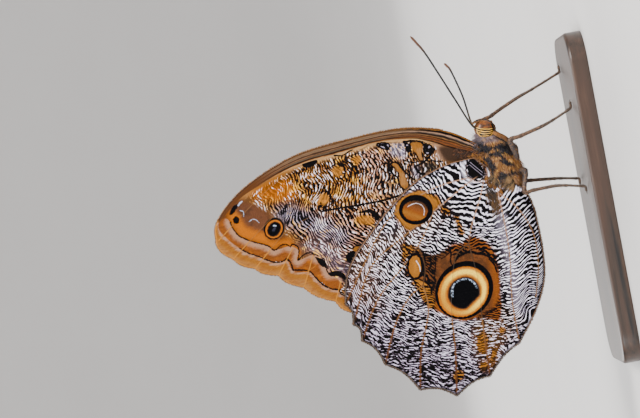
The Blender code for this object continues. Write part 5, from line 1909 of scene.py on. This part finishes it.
def claws(name, route, material):
    """The two small hooks at the end of a foot."""
    before, end = (np.array(stop[:3]) + (0, 0, STANCE) for stop in route[-2:])
    way = (end - before) / np.linalg.norm(end - before)
    side = np.cross(way, (0, 0, 1))
    share = np.linspace(0, 1, CLAW_ROWS)[:, None]
    radii = CLAW_RADIUS * (1 - share * 0.85)
    points, faces = [], []
    for i, hand in enumerate((-1, 1)):
        line = end + way * share * 0.75 + side * hand * (0.16 + 0.22 * np.sin(share * 2.2))
        line[:, 2:] = SOLE + 0.28 + 0.22 * np.sin(share * 2.6) - 0.26 * share
        points.append(tube(np.hstack((line, radii)), CLAW_SIDES)[0])
        first = i * CLAW_ROWS * CLAW_SIDES
        faces += [tuple(first + j for j in face) for face in joined(CLAW_ROWS, CLAW_SIDES)]
    points = np.vstack(points)
    one = np.ones(len(points))
    new_piece(
        name, "legs", points, faces, material,
        places=(np.linspace(0, 1, len(points)), np.tile(np.linspace(0, 1, CLAW_SIDES), 2 * CLAW_ROWS)),
        fields={"down": one, "joint": one},
    )


def on_wing(plan, stand_off, side):
    """Places on a wing's outer face and their normals."""
    dx, dz, lean = bend(stand_off, plan, HAIR_BEND_STEP)
    level = stand_off(plan) + (SOLID_MEMBRANE + MEMBRANE) / 2 * lean
    x, z = (plan + HINGE).T
    normals = np.column_stack((-dx, np.full(len(plan), side), -dz))
    return np.column_stack((x, side * level, z)), normals


def build_wing_hair():
    """Locks of hair at the wings' roots and along the fold that holds the abdomen."""
    rng = np.random.default_rng(SEED + 2)
    for kind, lots, stand_off in (
        ("hindwing", HIND_HAIR, hindwing_stand_off), ("forewing", FORE_HAIR, forewing_stand_off)
    ):
        for lock, tones, count, shortest, longest, lean, shape in lots:
            material = three_tone(f"{kind}_{lock}_hair", tones)
            spots = rng.uniform((-32, -6), (9, 12), (count * 60, 2))
            spots = spots[shape(spots) < 0][:count]
            turn = np.radians(lean) + rng.normal(0, 0.14, len(spots))
            turn += 0.25 * wavy(np.insert(spots, 1, 0, axis=1), 0.9, 8)
            lies = np.column_stack((np.cos(turn), np.zeros(len(spots)), np.sin(turn)))
            lengths = rng.uniform(shortest, longest, len(spots))
            places = np.column_stack(wing_place(spots))
            for word, side in SIDES:
                name = f"{kind}_{word}_{lock}"
                roots, normals = on_wing(spots, stand_off, side)
                tufts(name, kind + "_scales", material, roots, normals, lies, lengths, places, {}, 0.1, 0.12)


def build_fringe(kind, slot, outline, stand_off, material):
    """Short scales that stand out all along a wing's outer edge."""
    rng = np.random.default_rng(SEED + 3)
    run = smooth_run(outline, FRINGE_STEP, closed=True)
    way = np.gradient(run, axis=0)
    out = np.column_stack((-way[:, 1], way[:, 0])) / np.hypot(*way.T)[:, None]
    out[np.sum(out * (run - run.mean(0)), axis=1) < 0] *= -1
    keep = np.hypot(*run.T) > FRINGE_START
    run, out = run[keep], out[keep]
    turn = rng.normal(0, 0.25, len(run))
    cos, sin = np.cos(turn), np.sin(turn)
    ahead, up = out.T
    lies = np.column_stack((ahead * cos - up * sin, np.zeros(len(run)), ahead * sin + up * cos))
    lengths = rng.uniform(0.28, 0.5, len(run))
    places = np.column_stack(wing_place(run))
    for word, side in SIDES:
        roots, normals = on_wing(run, stand_off, side)
        roots[:, 1] -= side * 0.5 * MEMBRANE
        name = f"{kind}_{word}_fringe"
        tufts(name, slot, material, roots, normals, lies, lengths, places, {}, width=0.17, lift=0.0)


def build_legs():
    material = leg_material()
    for name, route in LEGS.items():
        leg(name, route, material)
        claws(name + "_claws", route, material)


def brush(name, slot, route, side, material, count, length, line_at):
    """A limb thick with flat-lying hair, over a core a little thinner than the solid one. Its dark line is at
    a turn of line_at on the outer side."""
    run = route_run(route, BRUSH_STEP) * (1, side, 1, 1)
    core = run * (1, 1, 1, BRUSH_CORE)

    def line_field(turn):
        return np.abs((turn - line_at + 0.5) % 1 - 0.5) * 2 + (np.cos(2 * np.pi * turn) * side > 0)

    tube_piece(name, slot, material, core, BRUSH_SIDES, np.linspace(0, 1, len(run)), {
        "root": lambda points, around: points,
        # painted shade: the core under the hair is darkened nearly as much as the roots
        "tip": np.full(len(run), 0.2),
        "line": lambda points, around: line_field(around),
    })
    rng = np.random.default_rng(SEED + count + (side > 0))
    at = rng.integers(1, len(run) - 1, count)
    turn = rng.random(count)
    out, along = round_at(run, at, turn)
    roots = core[at, :3] + out * core[at, 3:]
    lengths = rng.uniform(0.6, 1.1, count) * length
    places = np.column_stack((turn, at / len(run)))
    fields = {"line": line_field(turn)}
    tufts(name + "_hairs", slot, material, roots, out, along, lengths, places, fields, width=0.08, lift=0.22)


def build_brushes():
    palp = brush_material("palp_hair", "brown", "sand")
    fore = brush_material("foreleg_hair", "brown", "gold")
    for word, side in MIRRORS:
        brush("palp_" + word, "palps", PALP, side, palp, count=2600, length=0.55, line_at=0.62)
        brush("foreleg_" + word, "legs", FORELEG, side, fore, count=3600, length=0.95, line_at=0.66)


def build_antennae():
    material = antenna_material()
    for name, route in (("antenna_right", ANTENNA_RIGHT), ("antenna_left", ANTENNA_LEFT)):
        run = route_run(route, ANTENNA_STEP)
        travel = travelled(run)
        share = travel / travel[-1]
        club = ease(share, 0.78, 0.93)
        groove = 1 - 0.12 * (np.cos(2 * np.pi * travel / ANTENNA_RING) > 0.7)
        end = np.sqrt(np.clip((1 - share) / 0.03, 0.02, 1))
        run[:, 3] = (0.29 + 0.1 * club + 0.12 * ease(travel, 1.2, 0.2)) * groove * end
        pale = np.repeat(ease(travel, 9.0, 5.0), LIMB_SIDES)
        tube_piece(name, "antennae", material, run, LIMB_SIDES, share, {
            "travel": travel,
            "club": club,
            "under": lambda points, around: pale * (np.sin(2 * np.pi * around) < -0.2),
        })


def build_proboscis():
    share = np.linspace(0, 1, PROBOSCIS_ROWS)
    turn = share * PROBOSCIS_TURNS * 2 * np.pi + PROBOSCIS_START
    reach = PROBOSCIS_REACH * (1 - 0.8 * share)
    x, _, z = PROBOSCIS_CENTRE
    run = np.column_stack((
        x + reach * np.cos(turn), 0.02 * np.sin(turn * 3), z + reach * np.sin(turn),
        PROBOSCIS_RADIUS * (1 - 0.45 * share),
    ))
    fields = {"travel": share * PROBOSCIS_LENGTH}
    tube_piece("proboscis", "palps", proboscis_material(), run, PROBOSCIS_SIDES, share, fields, wide=1.5)


def quarter_turn(start, steps):
    """Angles from a start in degrees through a quarter turn, with both ends."""
    return [math.radians(start + 90 * i / steps) for i in range(steps + 1)]


def build_base():
    """A flat board with rounded corners, a softened foot and a rounded top edge."""
    levels = [(0.0, 0.35), (0.15, 0.1), (0.4, 0.0), (1.6, 0.0)]  # height, and how far in from the side
    for turn in quarter_turn(0, 8):
        height = BASE_HEIGHT - BASE_ROUND + BASE_ROUND * math.sin(turn)
        levels.append((height, BASE_ROUND * (1 - math.cos(turn))))
    points = []
    for height, shrink in levels:
        reach = BASE_CORNER - shrink
        for sx, sy, start in ((1, 1, 0), (-1, 1, 90), (-1, -1, 180), (1, -1, 270)):
            x, y = sx * (BASE_LENGTH / 2 - BASE_CORNER), sy * (BASE_WIDTH / 2 - BASE_CORNER)
            for turn in quarter_turn(start, 16):
                points.append((x + reach * math.cos(turn), y + reach * math.sin(turn), height))
    points = np.array(points)
    spread = (1 + points[:, 2] / 60) / 110  # the map is a view from above, in which the foot is the smallest
    board = new_piece(
        "stand_base", "stand", points, joined(len(levels), len(points) // len(levels)), wood_material(),
        places=(0.5 + points[:, 0] * spread, 0.5 + points[:, 1] * spread), replaces=("stand_base",),
    )
    for polygon in board.data.polygons:
        polygon.use_smooth = len(polygon.vertices) == 4


def build_body():
    run = build_skin()
    build_coat(run)
    build_collar(run)
    build_eyes()
    build_brushes()
    build_proboscis()
    build_antennae()
    build_legs()
    build_wing_hair()
    build_base()


def build_studio():
    """A round pale floor that curves up into a wall."""
    profile = [(FLOOR_RADIUS, 0.0)]
    for turn in quarter_turn(0, 16)[1:]:
        profile.append((FLOOR_RADIUS + SWEEP_RADIUS * math.sin(turn), SWEEP_RADIUS * (1 - math.cos(turn))))
    profile.append((FLOOR_RADIUS + SWEEP_RADIUS, WALL_HEIGHT))
    turns = 2 * np.pi * np.arange(FLOOR_SIDES) / FLOOR_SIDES
    points = []
    for reach, height in profile:
        points += [(reach * math.cos(turn), reach * math.sin(turn), height) for turn in turns]
    faces = [tuple(range(FLOOR_SIDES))]
    for first in range(0, len(points) - FLOOR_SIDES, FLOOR_SIDES):
        for i in range(FLOOR_SIDES):
            j = (i + 1) % FLOOR_SIDES
            faces.append((first + FLOOR_SIDES + i, first + FLOOR_SIDES + j, first + j, first + i))
    mesh = bpy.data.meshes.new("studio_floor")
    mesh.from_pydata(np.array(points) * MM, [], faces)
    mesh.shade_smooth()
    mesh.materials.append(floor_material())
    linked("studio_floor", mesh)


def build_lights():
    for name, place, size, power, colour in LIGHTS:
        light = bpy.data.lights.new(name, "AREA")
        light.shape = "DISK"
        light.size = size
        light.energy = power
        light.color = colour
        lamp = linked(name, light)
        lamp.location = place
        lamp.rotation_euler = (Vector(LIGHT_TARGET) - Vector(place)).to_track_quat("-Z", "Y").to_euler()
    world = bpy.data.worlds.new("studio_air")
    world.use_nodes = True
    world.node_tree.nodes["Background"].inputs[0].default_value = AIR_COLOUR
    world.node_tree.nodes["Background"].inputs[1].default_value = AIR_STRENGTH
    bpy.context.scene.world = world


def build_camera():
    """The photograph's view: square to the wings, and rolled because the insect clung to an upright trunk."""
    lens = bpy.data.cameras.new("camera")
    lens.sensor_width = SENSOR_WIDTH
    lens.lens = SENSOR_WIDTH * CAMERA_DISTANCE / (PHOTO_WIDTH * MM_PER_PIXEL)
    lens.clip_end = 20.0
    camera = linked("camera", lens)
    x, y, z = CAMERA_TARGET
    level = Matrix.Rotation(math.radians(90), 4, "X")
    roll = Matrix.Rotation(math.radians(-CAMERA_ROLL), 4, "Z")
    camera.matrix_world = Matrix.Translation(Vector((x, y - CAMERA_DISTANCE, z)) * MM) @ level @ roll
    bpy.context.scene.camera = camera


build_camera()
build_studio()
build_lights()
build_wings()
build_body()
